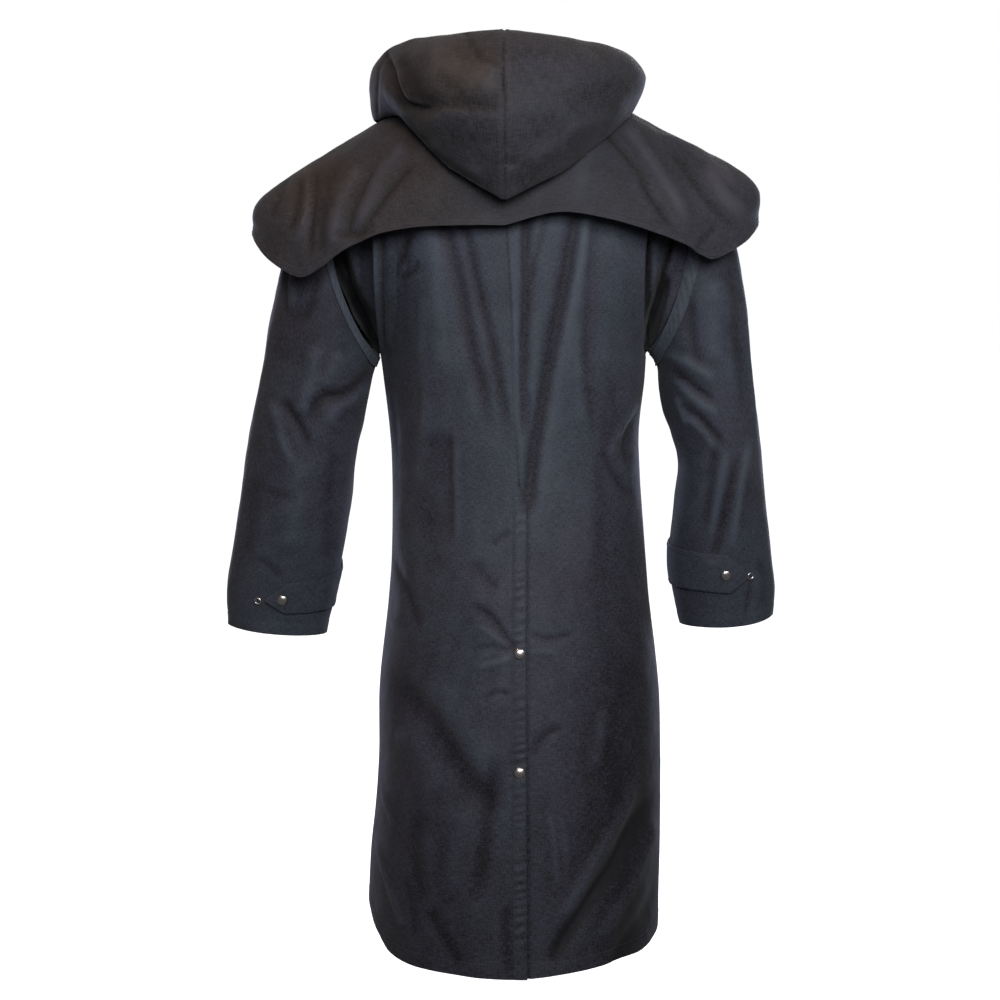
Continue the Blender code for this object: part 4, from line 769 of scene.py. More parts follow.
def lifts_over(grid, normals, trees, stand):
    """How far each point of a grid has to move out along its normal to stand clear of the pieces below."""
    lift = np.zeros(grid.shape[:2])
    for place in np.ndindex(*lift.shape):
        spot, out = Vector(grid[place]), Vector(normals[place])
        for tree in trees:
            distance = tree.ray_cast(spot + out * LAY_REACH, -out, LAY_REACH + stand)[3]
            if distance is not None:
                lift[place] = max(lift[place], LAY_REACH + stand - distance)
    return lift


class Value:
    """A number that varies over a surface. Arithmetic on it adds Math nodes."""

    def __init__(self, paint, socket):
        self.paint, self.socket = paint, socket

    def math(self, operation, *values):
        return self.paint.node("Math", {"operation": operation}, dict(enumerate(values)))

    def __add__(self, other):
        return self.math("ADD", self, other)

    def __radd__(self, other):
        return self.math("ADD", other, self)

    def __sub__(self, other):
        return self.math("SUBTRACT", self, other)

    def __rsub__(self, other):
        return self.math("SUBTRACT", other, self)

    def __mul__(self, other):
        return self.math("MULTIPLY", self, other)

    def __rmul__(self, other):
        return self.math("MULTIPLY", other, self)

    def held(self):
        """The number kept between 0 and 1."""
        return self.paint.node("Clamp", {}, {0: self})


class Paint:
    """A material, built from nodes."""

    def __init__(self, name):
        self.material = bpy.data.materials.new(name)
        self.material.use_nodes = True
        self.tree = self.material.node_tree
        self.shader = self.tree.nodes["Principled BSDF"]

    def node(self, kind, settings, inputs, output=0):
        """Adds a node: its settings first, then the values or links of its sockets."""
        made = self.tree.nodes.new("ShaderNode" + kind)
        for name, value in settings.items():
            setattr(made, name, value)
        for name, value in inputs.items():
            self.feed(made.inputs[name], value)
        return Value(self, made.outputs[output])

    def feed(self, socket, value):
        if isinstance(value, Value):
            self.tree.links.new(value.socket, socket)
        else:
            socket.default_value = value

    def noise(self, where, scale, detail=3.0, roughness=0.55):
        """Uneven values round 0.5, with a grain of 1 / scale metres."""
        return self.node("TexNoise", {}, {"Vector": where, "Scale": scale, "Detail": detail, "Roughness": roughness})

    def mix(self, share, low, high):
        """A colour between two colours."""
        return self.node("Mix", {"data_type": "RGBA"}, {0: share, 6: low, 7: high}, 2)

    def finish(self, **sockets):
        for name, value in sockets.items():
            self.feed(self.shader.inputs[name.replace("_", " ")], value)
        return self.material


def waxed_cotton(name, ground, patch_and_shade_tint, rubbed_and_lit, warm_lit_places=()):
    """Waxed cotton: a close weave with slubs, clouded by the wax, with painted shade in the folds and a lighter
    colour on the crests that is partly wear and partly painted highlight. Warm light is painted in brown round the
    places given."""
    paint = Paint(name)
    where = paint.node("TexCoord", {}, {}, 3)
    flat = paint.node("TexCoord", {}, {}, 2)
    warp = paint.noise(paint.node("Mapping", {}, {"Vector": flat, "Scale": (1.0, 0.24, 1.0)}), WEAVE, 1.0)
    weft = paint.noise(paint.node("Mapping", {}, {"Vector": flat, "Scale": (0.20, 1.0, 1.0)}), WEAVE, 1.0)
    shade_and_wear = paint.node("Attribute", {"attribute_name": "shade_and_wear"}, {}, 2)
    cloudy = paint.noise(where, CLOUDS)
    patchy = paint.noise(where, PATCHES, 3.0)
    grainy = paint.noise(where, FUZZ, 2.0, 0.7)
    slubs = (warp - 0.5) + (weft - 0.5) + (grainy - 0.5) * 0.8
    # Troughs lean to the second colour, as do random patches: the painted shade tone.
    tint_and_shade = ((paint.noise(where, TINTS, 2.0) - 0.5) * 3.0 + 0.32 - shade_and_wear * 0.7).held()
    color = paint.mix(tint_and_shade, ground, patch_and_shade_tint)
    level = paint.node("Mapping", {}, {"Vector": where, "Scale": (1.0, 0.0, 1.0)})
    # Painted warm light: brown round each of the places given.
    for x, z, reach in warm_lit_places:
        away = paint.node("VectorMath", {"operation": "DISTANCE"}, {0: level, 1: (x, 0.0, z)}, 1)
        color = paint.mix(((1.0 - away * (1.0 / reach)) * 1.4).held() * 0.85, color, WARM_LIGHT_BROWN)
    # Troughs fall toward the trough colour: painted shade.
    share = (0.62 + shade_and_wear * 0.32 + (cloudy - 0.5) * 0.45 + (patchy - 0.5) * 0.30 + slubs * 0.90).held()
    color = paint.mix(share, [part * left for part, left in zip(ground, TROUGH_SHADE_SHARES)], color)
    # Crests and random patches take the lighter colour: wear with painted highlight.
    crest_wear_and_light = ((shade_and_wear - 0.25) * 0.5 + (patchy - 0.5) * 0.5).held()
    color = paint.mix(crest_wear_and_light * 0.45, color, rubbed_and_lit)
    height = slubs * 0.16 + (patchy - 0.5) * 0.30 + (cloudy - 0.5) * 0.6
    bump = paint.node("Bump", {}, {"Strength": 1.0, "Distance": 0.001, "Height": height})
    rough = 0.74 + (patchy - 0.5) * 0.2 + slubs * 0.1
    return paint.finish(Base_Color=color, Roughness=rough, Normal=bump, Specular_IOR_Level=0.30, Sheen_Weight=0.06,
                        Sheen_Roughness=0.5)


def stud_metal(name):
    """Dark nickel plate, brighter in random spots."""
    paint = Paint(name)
    where = paint.node("TexCoord", {}, {}, 3)
    spots = paint.noise(where, 700.0)
    color = paint.mix(spots.held(), (0.42, 0.39, 0.38, 1), (0.60, 0.57, 0.56, 1))
    return paint.finish(Base_Color=color, Roughness=0.27 + (spots - 0.5) * 0.08, Metallic=1.0)


def thread_finish(name, color):
    """Sewing thread with its twist."""
    paint = Paint(name)
    where = paint.node("TexCoord", {}, {}, 3)
    twist = paint.noise(where, 1800.0, 1.0)
    return paint.finish(Base_Color=paint.mix(twist, [c * 0.7 for c in color[:3]] + [1], color), Roughness=0.7,
                        Specular_IOR_Level=0.3)


FINISHES = {
    "waxed_cotton": waxed_cotton("waxed_cotton_navy", *NAVY),
    "waxed_cotton_cape": waxed_cotton("waxed_cotton_black", *BLACK, WARM_LIT_PLACES),
    "stud_metal": stud_metal("dark_nickel"),
}
THREAD = thread_finish("sewing_thread", (0.054, 0.052, 0.058, 1))


def armhole(side, turn):
    """Points of the armhole; turn is 0 at the shoulder, 90 at the back and 180 under the arm."""
    angle = np.radians(turn)
    under_x, under_z = UNDERARM_POINT[side]
    half_x, half_z = (SHOULDER_POINT[0] - under_x) / 2, (SHOULDER_POINT[1] - under_z) / 2
    x = under_x + half_x * (1 + np.cos(angle)) + ARMHOLE_BOW[side] * np.abs(np.sin(angle)) ** ARMHOLE_ROUND[side]
    z = under_z + half_z * (1 + np.cos(angle))
    return point(side * x, -ARMHOLE_HALF_DEPTH * np.sin(angle), z)


def armhole_normal(side, turn):
    """The way out of the armhole's seam at a turn."""
    angle = np.radians(turn)
    under = UNDERARM_POINT[side]
    up = unit(np.array((SHOULDER_POINT[0] - under[0], 0, SHOULDER_POINT[1] - under[1])))
    away = up * math.cos(angle) + np.array((0, -math.sin(angle), 0)) + np.array((0.5, 0, 0))
    return unit(away * np.array((side, 1, 1)))


def shoulder_seam(side, share):
    """Points of the shoulder seam, from the shoulder point to the neck."""
    x = SHOULDER_POINT[0] + (NECK_HALF_WIDTH - SHOULDER_POINT[0]) * share
    return point(side * x, 0.0, SHOULDER_POINT[1] * (1 - share))


def upper_sections(side, face):
    """Cross-sections from the underarm to the neck. Each has its middle, its edge and the other side's reach."""
    back = face == "back"
    rows = []
    for step, row in enumerate(MIDDLES):
        middle = (row[4], row[0], row[1]) if back else (0.0, row[2], row[3])
        along = (step + 1) / ARMHOLE_STEPS
        if along <= 1:
            edge = armhole(side, 180 - 180 * along if back else 180 + 180 * along)
            if back and step < len(PLEAT_EDGE):
                pull = PLEAT_PULL_IN[side] * math.sin(math.pi * (step + 0.5) / len(PLEAT_EDGE))
                edge = (PLEAT_EDGE[step] - (pull, 0, 0)) * (side, 1, 1)
        else:
            edge = shoulder_seam(side, (step + 1 - ARMHOLE_STEPS) / SHOULDER_STEPS)
        rows.append((*middle, *edge, abs(edge[0]) + side * middle[0]))
    return np.array([*lower_sections(side, face, np.array(JOIN_HEIGHTS)), *rows])


def lower_sections(side, face, heights):
    """Cross-sections of the skirt and waist at some heights."""
    back = face == "back"
    left, right, back_depth, front_depth, seam = curve(GIRTHS, place_of(GIRTHS[:, 0], heights)).T[1:]
    half, other = (left, right) if side < 0 else (right, left)
    middle_x = seam if back else seam * 0
    middle_y = -back_depth if back else front_depth
    return np.stack([middle_x, middle_y, heights, side * half, heights * 0, heights, other + side * middle_x], -1)


def full_turn(cuts):
    """How far round the oval a cross-section's edge lies from its middle, in radians."""
    return np.arccos(np.clip(cuts[..., 4] / cuts[..., 1], -1, 1))


def quarter(cuts, share, full=None):
    """Points on cross-sections, from their middles (0) to their edges (1). A share below 0 is past the middle."""
    mid, edge, past = cuts[..., 0:3], cuts[..., 3:6], cuts[..., 6]
    full = full_turn(cuts) if full is None else full
    reach = edge[..., 0] - mid[..., 0]
    reach = np.where(share < 0, np.copysign(past, reach), reach) / np.sin(full)
    rise = np.sin(share * math.pi / 2) ** 2
    return point(mid[..., 0] + reach * np.sin(share * full), mid[..., 1] * np.cos(share * full),
                 mid[..., 2] + (edge[..., 2] - mid[..., 2]) * rise)


def eased_middles(cuts, join):
    """The middles of cross-sections, evened out round the row where the waist meets the upper body."""
    middles = cuts[:, 0, 0:3]
    soft = middles.copy()
    for _ in range(120):
        soft[1:-1] = (soft[:-2] + 2 * soft[1:-1] + soft[2:]) / 4
    near = np.exp(-(((np.arange(len(cuts)) - join) / 16) ** 2))[:, None]
    return middles + (soft - middles) * near


def hem_rise(side, back, share):
    """How far the hem of a panel rises, by share of the way from its middle line to the side seam."""
    share = np.clip(share, 0, 1)
    if not back:
        return HEM_RISES[side][-1] * share ** 4
    steps = np.linspace(0, 1, 60)
    return np.interp(share, steps, curve(HEM_RISES[side], place_of(HEM_SHARES, steps)))


def body_grid(side, face, lap, spacing):
    """The outer skin of one panel of the body, its normals, the distance of each point from the middle line,
    below 0 past it, and the share of the way from there to the side seam."""
    back = face == "back"
    tall = int((UNDERARM_Z - HEM_Z) / spacing)
    heights = np.linspace(HEM_Z, UNDERARM_Z, tall, endpoint=False)
    steps = np.concatenate([np.linspace(1, UPPER_SPLIT, int(UPPER_LENGTH / spacing), endpoint=False),
                            np.linspace(UPPER_SPLIT, UPPER_END, NECK_ROWS)])
    cuts = np.concatenate([lower_sections(side, face, heights), curve(upper_sections(side, face), steps)])[:, None]
    cuts[:, 0, 0:3] = eased_middles(cuts, tall)
    full = blurred(full_turn(cuts), 260)
    start = -lap(cuts[..., 2]) / (cuts[..., 6] / np.sin(full)) / full
    share = start + (1 - start) * np.linspace(0, 1, int(PANEL_WIDTH / spacing))
    grid = quarter(cuts, share, full)
    missed = cuts[..., 3:6] - quarter(cuts, np.ones_like(full), full)
    grid += missed * np.clip(share, 0, 1)[..., None] ** 7
    grid[..., 2] += hem_rise(side, back, share) * (1 - smooth_step(0.0, 0.20, grid[..., 2] - HEM_Z))
    normals = normals_of(grid, np.array((0, -1.0 if back else 1.0, 0)))
    distance = np.linalg.norm(grid - cuts[..., 0:3], axis=-1) * np.where(share < 0, -1, 1)
    return grid, normals, distance, share


def front_relief(grid):
    """How far the folds of the front stand out, clear of its closing."""
    height = np.zeros(grid.shape[:2])
    for top_x, top_z, foot_x, foot_z, half_width, depth in FRONT_FOLDS:
        share = (top_z - grid[..., 2]) / (top_z - foot_z)
        off = (grid[..., 0] - top_x - (foot_x - top_x) * share) / half_width
        ends = smooth_step(-0.15, 0.25, share) * (1 - smooth_step(0.70, 1.15, share))
        if foot_z < HEM_Z:
            ends = smooth_step(-0.15, 0.45, share)
        height += depth * np.exp(-off * off) * ends
    return height * smooth_step(*LAP_CLEAR, np.abs(grid[..., 0]))


def crests(relief, closed=False):
    """Below 0 in troughs and above 0 on crests: broad folds and sharp ones count alike."""
    broad = relief - blurred(relief, 300, closed)
    sharp = relief - blurred(relief, 16, closed)
    return np.clip(np.tanh(broad / 0.0050) * 0.9 + np.tanh(sharp / 0.0012) * 0.45, -1.3, 1.0)


def valley(distance, half_width=0.0016, depth=0.0011):
    """The dip of the cloth into a seam."""
    return -depth * np.exp(-((distance / half_width) ** 2))


def back_relief(side, grid, normals, distance):
    """The folds of a back panel, the facing of its vent and its centre seam."""
    places, height = seen(grid), grid[..., 2]
    relief = fold_relief(places, BACK_FOLDS) * smooth_step(0.05, 0.35, toward_eye(grid, normals))
    relief += vent_strip(places, side)
    seam = 1 - smooth_step(VENT_TOP_Z - VENT_SOFT, VENT_TOP_Z + VENT_SOFT, -height + 2 * VENT_TOP_Z)
    relief += valley(distance) * seam
    if side > 0:
        below = 1 - smooth_step(VENT_TOP_Z - 0.040, VENT_TOP_Z - 0.005, height)
        relief += valley(distance - VENT_LAP - 0.001, 0.0030, 0.0026) * below
    return relief


def panel(side, face):
    """One of the four panels of the body, as a grid with its normals and its wear."""
    back = face == "back"
    if back:
        lap_size, under = (VENT_LAP, VENT_UNDERLAP) if side < 0 else (VENT_UNDERLAP, 0.0)
        top = VENT_TOP_Z if side < 0 else VENT_TOP_Z - 0.006
        grid, normals, distance, share = body_grid(
            side, face, lambda z: lap_size * (1 - smooth_step(top - VENT_SOFT, top + VENT_SOFT, z)), SPACING)
        relief = back_relief(side, grid, normals, distance)
    else:
        lap_size, under = (FRONT_LAP, FRONT_UNDERLAP) if side < 0 else (FRONT_UNDERLAP, 0.0)
        grid, normals, distance, share = body_grid(side, face, lambda z: lap_size + z * 0, FRONT_SPACING)
        relief = front_relief(grid)
        relief += np.where(distance + lap_size < 0.03, ripple(grid, 0.024, 0.0006, 5), 0.0) * (side < 0)
    lift = np.zeros(grid.shape[:2])
    if side < 0:
        lift = (WALL + LAP_GAP) * (1 - smooth_step(under + LAP_LEVEL, under + LAP_RUNOUT, distance))
        if back:
            lift *= 1 - smooth_step(VENT_TOP_Z, VENT_TOP_Z + 0.110, grid[..., 2])
    relief += ripple(grid, 0.050, 0.0011, 11) + ripple(grid, 0.017, 0.00035, 12)
    relief *= 1 - smooth_step(0.90, 1.0, share)
    relief += valley(arc_lengths(grid[:, ::-1], 1)[:, ::-1])
    relief += hem_relief(arc_lengths(grid, 0), grid)
    outer = grid + normals * (lift + relief)[..., None]
    # Painted shade: the cloth is darker towards the hem, where the light falls off.
    shade_and_wear_marks = crests(relief) - 0.35 * (1 - smooth_step(-1.20, -0.60, grid[..., 2]))
    if back:
        shade_and_wear_marks += painted_patches(seen(grid), BODY_PAINTED_PATCHES)
    return outer, normals, shade_and_wear_marks


def hem_relief(distance, grid):
    """A turned and stitched hem: thicker below its stitching, with a slight pucker."""
    step = 0.0004 * (1 - smooth_step(0.018, 0.021, distance))
    return step + valley(distance - HEM_SEWN, 0.0012, 0.0003) + step * ripple(grid, 0.012, 0.8, 21)


def vent_strip(places, side):
    """The puckered facing down the vent's edge, between its stitching and the edge."""
    across, down = places[..., 0] - STRIP_X, places[..., 1]
    inside = smooth_step(*STRIP_TOP, down)
    near = np.exp(-(across / 6.0) ** 4) * inside
    wave = np.sin(2 * math.pi * down / 9.6 + 2.2 * np.sin(down / 13.0) + across * 0.12)
    wave *= 0.55 + 0.30 * np.sin(down / 23.0) + 0.25 * np.sin(down / 9.1)
    stitched = -0.0012 * np.exp(-(((places[..., 0] - STRIP_SEWN_X) / 1.3) ** 2)) * inside
    return (near * wave * 0.0011 + stitched + near * 0.0005) * (1 if side < 0 else 0.35)


def make_body():
    """The two backs and the two fronts. The left ones lap over the right ones."""
    made = {}
    for side, word in ((1, "right"), (-1, "left")):
        for face in ("back", "front"):
            outer, normals, shade_and_wear_marks = panel(side, face)
            name = face + "_" + word
            made[name] = (outer, normals)
            piece = cloth("cloth_" + name, outer, normals, "waxed_cotton", shade_and_wear_marks=shade_and_wear_marks, parts=[name])
    return made


def sleeve_at(side, place, turn):
    """Points of a sleeve. place counts the rows of its table, and turn goes round it as at the armhole."""
    outer_x, outer_z, inner_x, inner_z, middle_y, depth, bow = np.moveaxis(curve(SLEEVES[side], place), -1, 0)
    angle = np.radians(turn)
    c, s = np.cos(angle), np.sin(angle)
    x = (outer_x + inner_x) / 2 + (outer_x - inner_x) / 2 * c + bow * np.abs(s) ** ARMHOLE_ROUND[side]
    return point(side * x, middle_y - depth * s, (outer_z + inner_z) / 2 + (outer_z - inner_z) / 2 * c)


def sleeve_middle(side, place):
    """The middle of a sleeve at places along it."""
    return (sleeve_at(side, place, place * 0) + sleeve_at(side, place, place * 0 + 180)) / 2


def sleeve_relief(side, grid, normals, place):
    """The folds and crumples of a sleeve, with a hollow across the front of its elbow."""
    facing = smooth_step(0.05, 0.35, toward_eye(grid, normals))
    relief = fold_relief(seen(grid), SLEEVE_FOLDS[side]) * facing
    relief += ripple(grid, 0.055, 0.0013, 31 + side) + ripple(grid, 0.018, 0.0004, 33 + side)
    front = np.exp(-((place / SLEEVE_END - 0.60) / 0.07) ** 2) * (1 - facing)
    return (relief - 0.004 * front) * smooth_step(0.3, 1.6, place)


def make_sleeves():
    """The two sleeves, each with its armhole band and its cuff strap."""
    made = {}
    rows, columns = int(SLEEVE_LENGTH / SLEEVE_SPACING), int(SLEEVE_GIRTH / SLEEVE_SPACING)
    for side, word in SIDES:
        place, turn = np.meshgrid(np.linspace(0, SLEEVE_END, rows), np.linspace(0, 360, columns, endpoint=False),
                                  indexing="ij")
        grid = sleeve_at(side, place, turn)
        normals = normals_of(grid, unit(grid - sleeve_middle(side, place)), closed=True)
        outside = (0.5 + 0.5 * np.cos(np.radians(turn))) ** 3
        grid[..., 2] += CUFF_RISE[side] * outside * smooth_step(CUFF_START, SLEEVE_END, place)
        relief = sleeve_relief(side, grid, normals, place)
        hem = arc_lengths(grid[::-1], 0)[::-1]
        relief += hem_relief(hem, grid) + valley(arc_lengths(grid, 0), 0.002, 0.0014)
        outer = grid + normals * relief[..., None]
        made[side] = (outer, normals)
        piece = cloth("cloth_sleeve_" + word, outer, normals, "waxed_cotton", closed=True,
                      shade_and_wear_marks=crests(relief, True) + painted_patches(seen(grid), SLEEVE_PAINTED_SHADE[side]), parts=["sleeve_" + word])
        make_band(side, word, outer, normals)
        make_strap(side, word)
    return made


def make_band(side, word, sleeve, sleeve_normals):
    """The stitched band on the sleeve along the armhole."""
    columns = sleeve.shape[1]
    share = np.minimum(np.arange(columns), columns - np.arange(columns)) / columns
    start = BAND_START + BAND_CLEAR * smooth_step(0.30, 0.46, share)
    walk = arc_lengths(sleeve, 0)
    lines = []
    for part in np.linspace(0, 1, BAND_LINES):
        wanted = start + (BAND_WIDTH[side] - start) * part
        lines.append([[np.interp(wanted[j], walk[:, j], sleeve[:, j, k]) for k in range(3)] for j in range(columns)])
    base = np.array(lines)
    normals = normals_of(base, sleeve_normals[4], closed=True)
    part = np.linspace(0, 1, BAND_LINES)[:, None]
    puckers = 0.0005 * np.sin(2 * math.pi * arc_lengths(base, 1) / 0.0105) * np.sin(part * math.pi)
    stitched = -0.0005 * (np.exp(-(((part - 0.13) / 0.06) ** 2)) + np.exp(-(((part - 0.87) / 0.06) ** 2)))
    relief = puckers + stitched
    outer = base + normals * (BAND_GAP + BAND_WALL + relief)[..., None]
    # Painted highlight over the band, strongest along its edges and on its puckers.
    piece = cloth("cloth_band_" + word, outer, normals, "waxed_cotton", wall=BAND_WALL, closed=True,
                  shade_and_wear_marks=0.75 + 0.55 * (2 * part - 1) ** 4 + puckers / 0.0012, parts=["armhole_band_" + word])
    carried = normals_with(outer, normals)
    STITCHES["band_" + word] = [line_in(carried, away, 0) for away in (0.0022, BAND_WIDTH[side] - 0.0040)]


def normals_with(grid, normals):
    """A grid of points that carries its normals along, for line_in."""
    return np.concatenate([grid, normals], -1)


# The lines of sewing on each piece, as runs of points with their normals, gathered as the pieces are made.
STITCHES = {}


def make_strap(side, word):
    """A pointed strap round the back of a cuff, sewn in behind the inner seam."""
    row = STRAPS[side]
    turn = np.linspace(row.start, row.tip, STRAP_ROWS)
    top = row.top[0] + (row.top[1] - row.top[0]) * (180 - turn) / 90
    foot = row.foot[0] + (row.foot[1] - row.foot[0]) * (180 - turn) / 90
    spine = sleeve_at(side, (top + foot) / 2, turn)
    left = arc_lengths(spine[::-1, None], 0)[::-1, 0]
    width = np.minimum(1.0, 0.10 + 0.90 * left / STRAP_POINT)
    place = ((top + foot) / 2)[:, None] + ((foot - top) * width)[:, None] * np.linspace(-0.5, 0.5, STRAP_COLUMNS)
    grid = sleeve_at(side, place, np.repeat(turn[:, None], STRAP_COLUMNS, 1))
    normals = normals_of(grid, unit(grid - sleeve_middle(side, place)))
    relief = sleeve_relief(side, grid, normals, place)
    relief += ripple(grid, 0.016, 0.0005, 41) + 0.0004
    edge = np.minimum(arc_lengths(grid, 1), arc_lengths(grid[:, ::-1], 1)[:, ::-1])
    relief += -0.0006 * np.exp(-((edge / 0.0012) ** 2)) + valley(edge - 0.005, 0.0009, 0.0004)
    outer = grid + normals * (relief + BAND_GAP + STRAP_WALL)[..., None]
    piece = cloth("cloth_strap_" + word, outer, normals, "waxed_cotton", wall=STRAP_WALL, shade_and_wear_marks=crests(relief),
                  parts=["cuff_strap_" + word])
    carried = normals_with(outer, normals)
    STITCHES["strap_" + word] = [line_in(carried, 0.005, 1, from_end) for from_end in (False, True)]


def make_gussets():
    """The pleat underlays between the armholes and the back panels."""
    for side, word in SIDES:
        upper = upper_sections(side, "back")
        rows = []
        for turn in GUSSET_TURNS:
            cut = curve(upper, np.array((1 + (180 - turn) / 180 * ARMHOLE_STEPS,)))[0]
            share = (GUSSET_TURNS[0] - turn) / (GUSSET_TURNS[0] - GUSSET_TURNS[-1])
            open_share = math.sin(math.pi * share)
            normal = armhole_normal(side, turn)
            hidden = (WALL + GUSSET_SINK) * (1 - smooth_step(0.0, 0.6, open_share)) * (turn < 100)
            sewn = armhole(side, turn) - normal * hidden - (side * (SEAM_GAP / 2 + hidden), 0, 0)
            edge = quarter(cut, 1.0) + (-side * 0.004, GUSSET_DEPTH[side], 0)
            tucks = []
            for place in (0.90, 0.80):
                step = quarter(cut, place + 0.01) - quarter(cut, place - 0.01)
                out = unit(np.array((side * abs(step[1]), -abs(step[0]), 0)))
                tucks.append(quarter(cut, place) - out * (WALL + 0.0045))
            half = (sewn + edge) / 2
            recess = np.array((0, GUSSET_RECESS[side] * open_share, 0))
            rows.append([sewn, half + recess, edge + recess * 0.6] + tucks)
        grid = finer(np.array(rows), 90, 45)
        normals = normals_of(grid, np.array((side * 0.5, -1.0, 0)))
        relief = ripple(grid, 0.03, 0.0008, 51)
        gap = fold_relief(seen(grid), PLEAT_FOLDS[side])
        deep = gap * smooth_step(0.10, 0.38, np.linspace(0, 1, len(grid)))[:, None]
        outer = grid + normals * relief[..., None] + point(0, -deep, 0)
        # Painted shade over the gusset, deepest in the gap of the pleat.
        shade_and_wear_marks = crests(relief) - (0.4 if side > 0 else 0.2) + gap / 0.005
        piece = cloth("cloth_gusset_" + word, outer, normals, "waxed_cotton", shade_and_wear_marks=shade_and_wear_marks, parts=["gusset_" + word])


def neck_edge(side, turn):
    """Points of the body's neck edge at turns round the neck, and the level way out from them."""
    back = upper_sections(side, "back")[-1]
    front = upper_sections(side, "front")[-1]
    turn = np.asarray(turn, float)
    base = np.where((turn <= 90)[..., None], quarter(back, np.minimum(turn, 90) / 90),
                    quarter(front, np.minimum(180 - turn, 90) / 90))
    return base, unit(base * (1, 1, 0))


def stand_face(side, turn, rise):
    """Points just outside the neck stand, where the cape and the hood are sewn to it."""
    base, out = neck_edge(side, turn)
    rise = rise + FRONT_RISE * smooth_step(95, 135, turn)
    lean = STAND_SET_IN + STAND_LEAN * rise / STAND_HEIGHT
    return base - out * (lean - SEAM_GAP)[..., None] + point(turn * 0, turn * 0, rise)


def cape_normals(grid):
    """The way out of the cape, up and away from the neck."""
    return normals_of(grid, point(grid[..., 0] * 0.6, grid[..., 1], 0.12))


def cape_grid(trees):
    """The smooth cape, laid clear of the pieces below."""
    turns = np.linspace(0, CAPE_END, CAPE_STEPS + 1)
    halves = {}
    for side, _ in SIDES:
        rows = CAPE[side]
        found = curve(rows, place_of(rows[:, 0], turns))
        start = stand_face(side, turns, CAPE_RISE)
        stops = np.stack([start] + [found[:, n:n + 3] * (side, 1, 1) for n in (1, 4, 7)])
        halves[side] = curve(stops, np.linspace(0, 3, CAPE_DOWNS + 1))
    base = np.concatenate([halves[-1][:, :0:-1], halves[1]], 1)
    normals = cape_normals(base)
    lift = lifts_over(base, normals, trees, WALL + CAPE_REST)
    lift[0] = 0
    return finer(base + normals * lift[..., None], CAPE_ROWS, CAPE_COLUMNS)


def cape_relief(grid, normals, down):
    """The folds, crumples and hem of the cape. down is the share of the way to its hem."""
    facing = smooth_step(0.05, 0.30, toward_eye(grid, normals))
    relief = fold_relief(seen(grid), CAPE_FOLDS) * facing
    turned = np.degrees(np.arctan2(grid[..., 0], -grid[..., 1]))
    for turn, depth in CAPE_SIDE_FOLDS:
        relief += depth * np.exp(-(((turned - turn) / 6.5) ** 2)) * smooth_step(0.3, 0.7, down)
    relief += ripple(grid, 0.045, 0.0012, 61) + ripple(grid, 0.016, 0.0004, 62)
    relief += hem_relief(arc_lengths(grid[::-1], 0)[::-1] * 2.0, grid)
    return relief * smooth_step(0.02, 0.16, down)


def make_cape(trees):
    """The shoulder cape, one sheet from its left front edge round the back to its right front edge."""
    grid = cape_grid(trees)
    normals = cape_normals(grid)
    down = np.linspace(0, 1, len(grid))[:, None]
    relief = cape_relief(grid, normals, down)
    outer = grid + normals * relief[..., None]
    lift = lifts_over(outer[::2, ::2], normals[::2, ::2], trees, WALL + 0.0016)
    lift = finer(lift[..., None], *outer.shape[:2])[..., 0]
    lift = blurred(np.maximum(lift, 0) * 1.15, 3) * smooth_step(0.05, 0.2, down)
    outer = outer + normals * lift[..., None]
    piece = cloth("cloth_cape", outer, normals, "waxed_cotton_cape",
                  shade_and_wear_marks=crests(relief) + painted_patches(seen(grid), CAPE_PAINTED_PATCHES), parts=["cape"])
    carried = normals_with(outer, normals)
    STITCHES["cape"] = [line_in(carried, distance, 0, True) for distance in (0.0045, 0.0115)]
    return outer


def make_stand():
    """The plain band that the hood and cape are sewn to, standing round the neck."""
    turns = np.linspace(-STAND_END, STAND_END, 168)
    rises = np.linspace(0, 1, 12)
    base, out = [], []
    for side in (-1, 1):
        pick = np.abs(turns[turns < 0] if side < 0 else turns[turns >= 0])
        found = neck_edge(side, pick)
        base.append(found[0])
        out.append(found[1])
    base, out = np.concatenate(base), np.concatenate(out)
    set_in = (STAND_SET_IN + STAND_LEAN * rises)[:, None, None]
    outer = base[None] - out[None] * set_in + point(0, 0, STAND_HEIGHT * rises + LAYER_GAP)[:, None]
    normals = np.repeat(out[None], len(rises), 0)
    piece = cloth("cloth_neck_stand", outer, normals, "waxed_cotton", parts=["neck_stand"])


def hood_grid(side):
    """The smooth shape of half the hood, from the neck stand out, down and up to its rolled rim."""
    rows = HOOD[side]
    turns = np.linspace(0, CAPE_END, HOOD_COLUMNS)
    index = np.interp(turns, rows[:, 0], np.arange(len(rows)))
    found = curve(rows, index)
    reach, height = found[:, 1::2], found[:, 2::2]
    angle = np.radians(turns)[:, None]
    middle_x = HOOD_MIDDLE_X * (1 - smooth_step(90, 156, turns))[:, None]
    stops = point(middle_x + side * reach * np.sin(angle), -reach * np.cos(angle), height)
    start = stand_face(side, turns, HOOD_RISE)
    stops = np.concatenate([start[:, None], stops], 1).swapaxes(0, 1)
    return curve(stops, np.linspace(0, 8, HOOD_ROWS))


def rest_on(grid, below):
    """Lifts the lower rows of the hood clear of the cape."""
    for i in range(1, HOOD_LAID_ROWS):
        for j in range(grid.shape[1]):
            hit = below.ray_cast(Vector((grid[i, j, 0], grid[i, j, 1], 0.5)), Vector((0, 0, -1)))[0]
            if hit and grid[i, j, 2] < hit.z + HOOD_REST:
                grid[i, j, 2] = hit.z + HOOD_REST


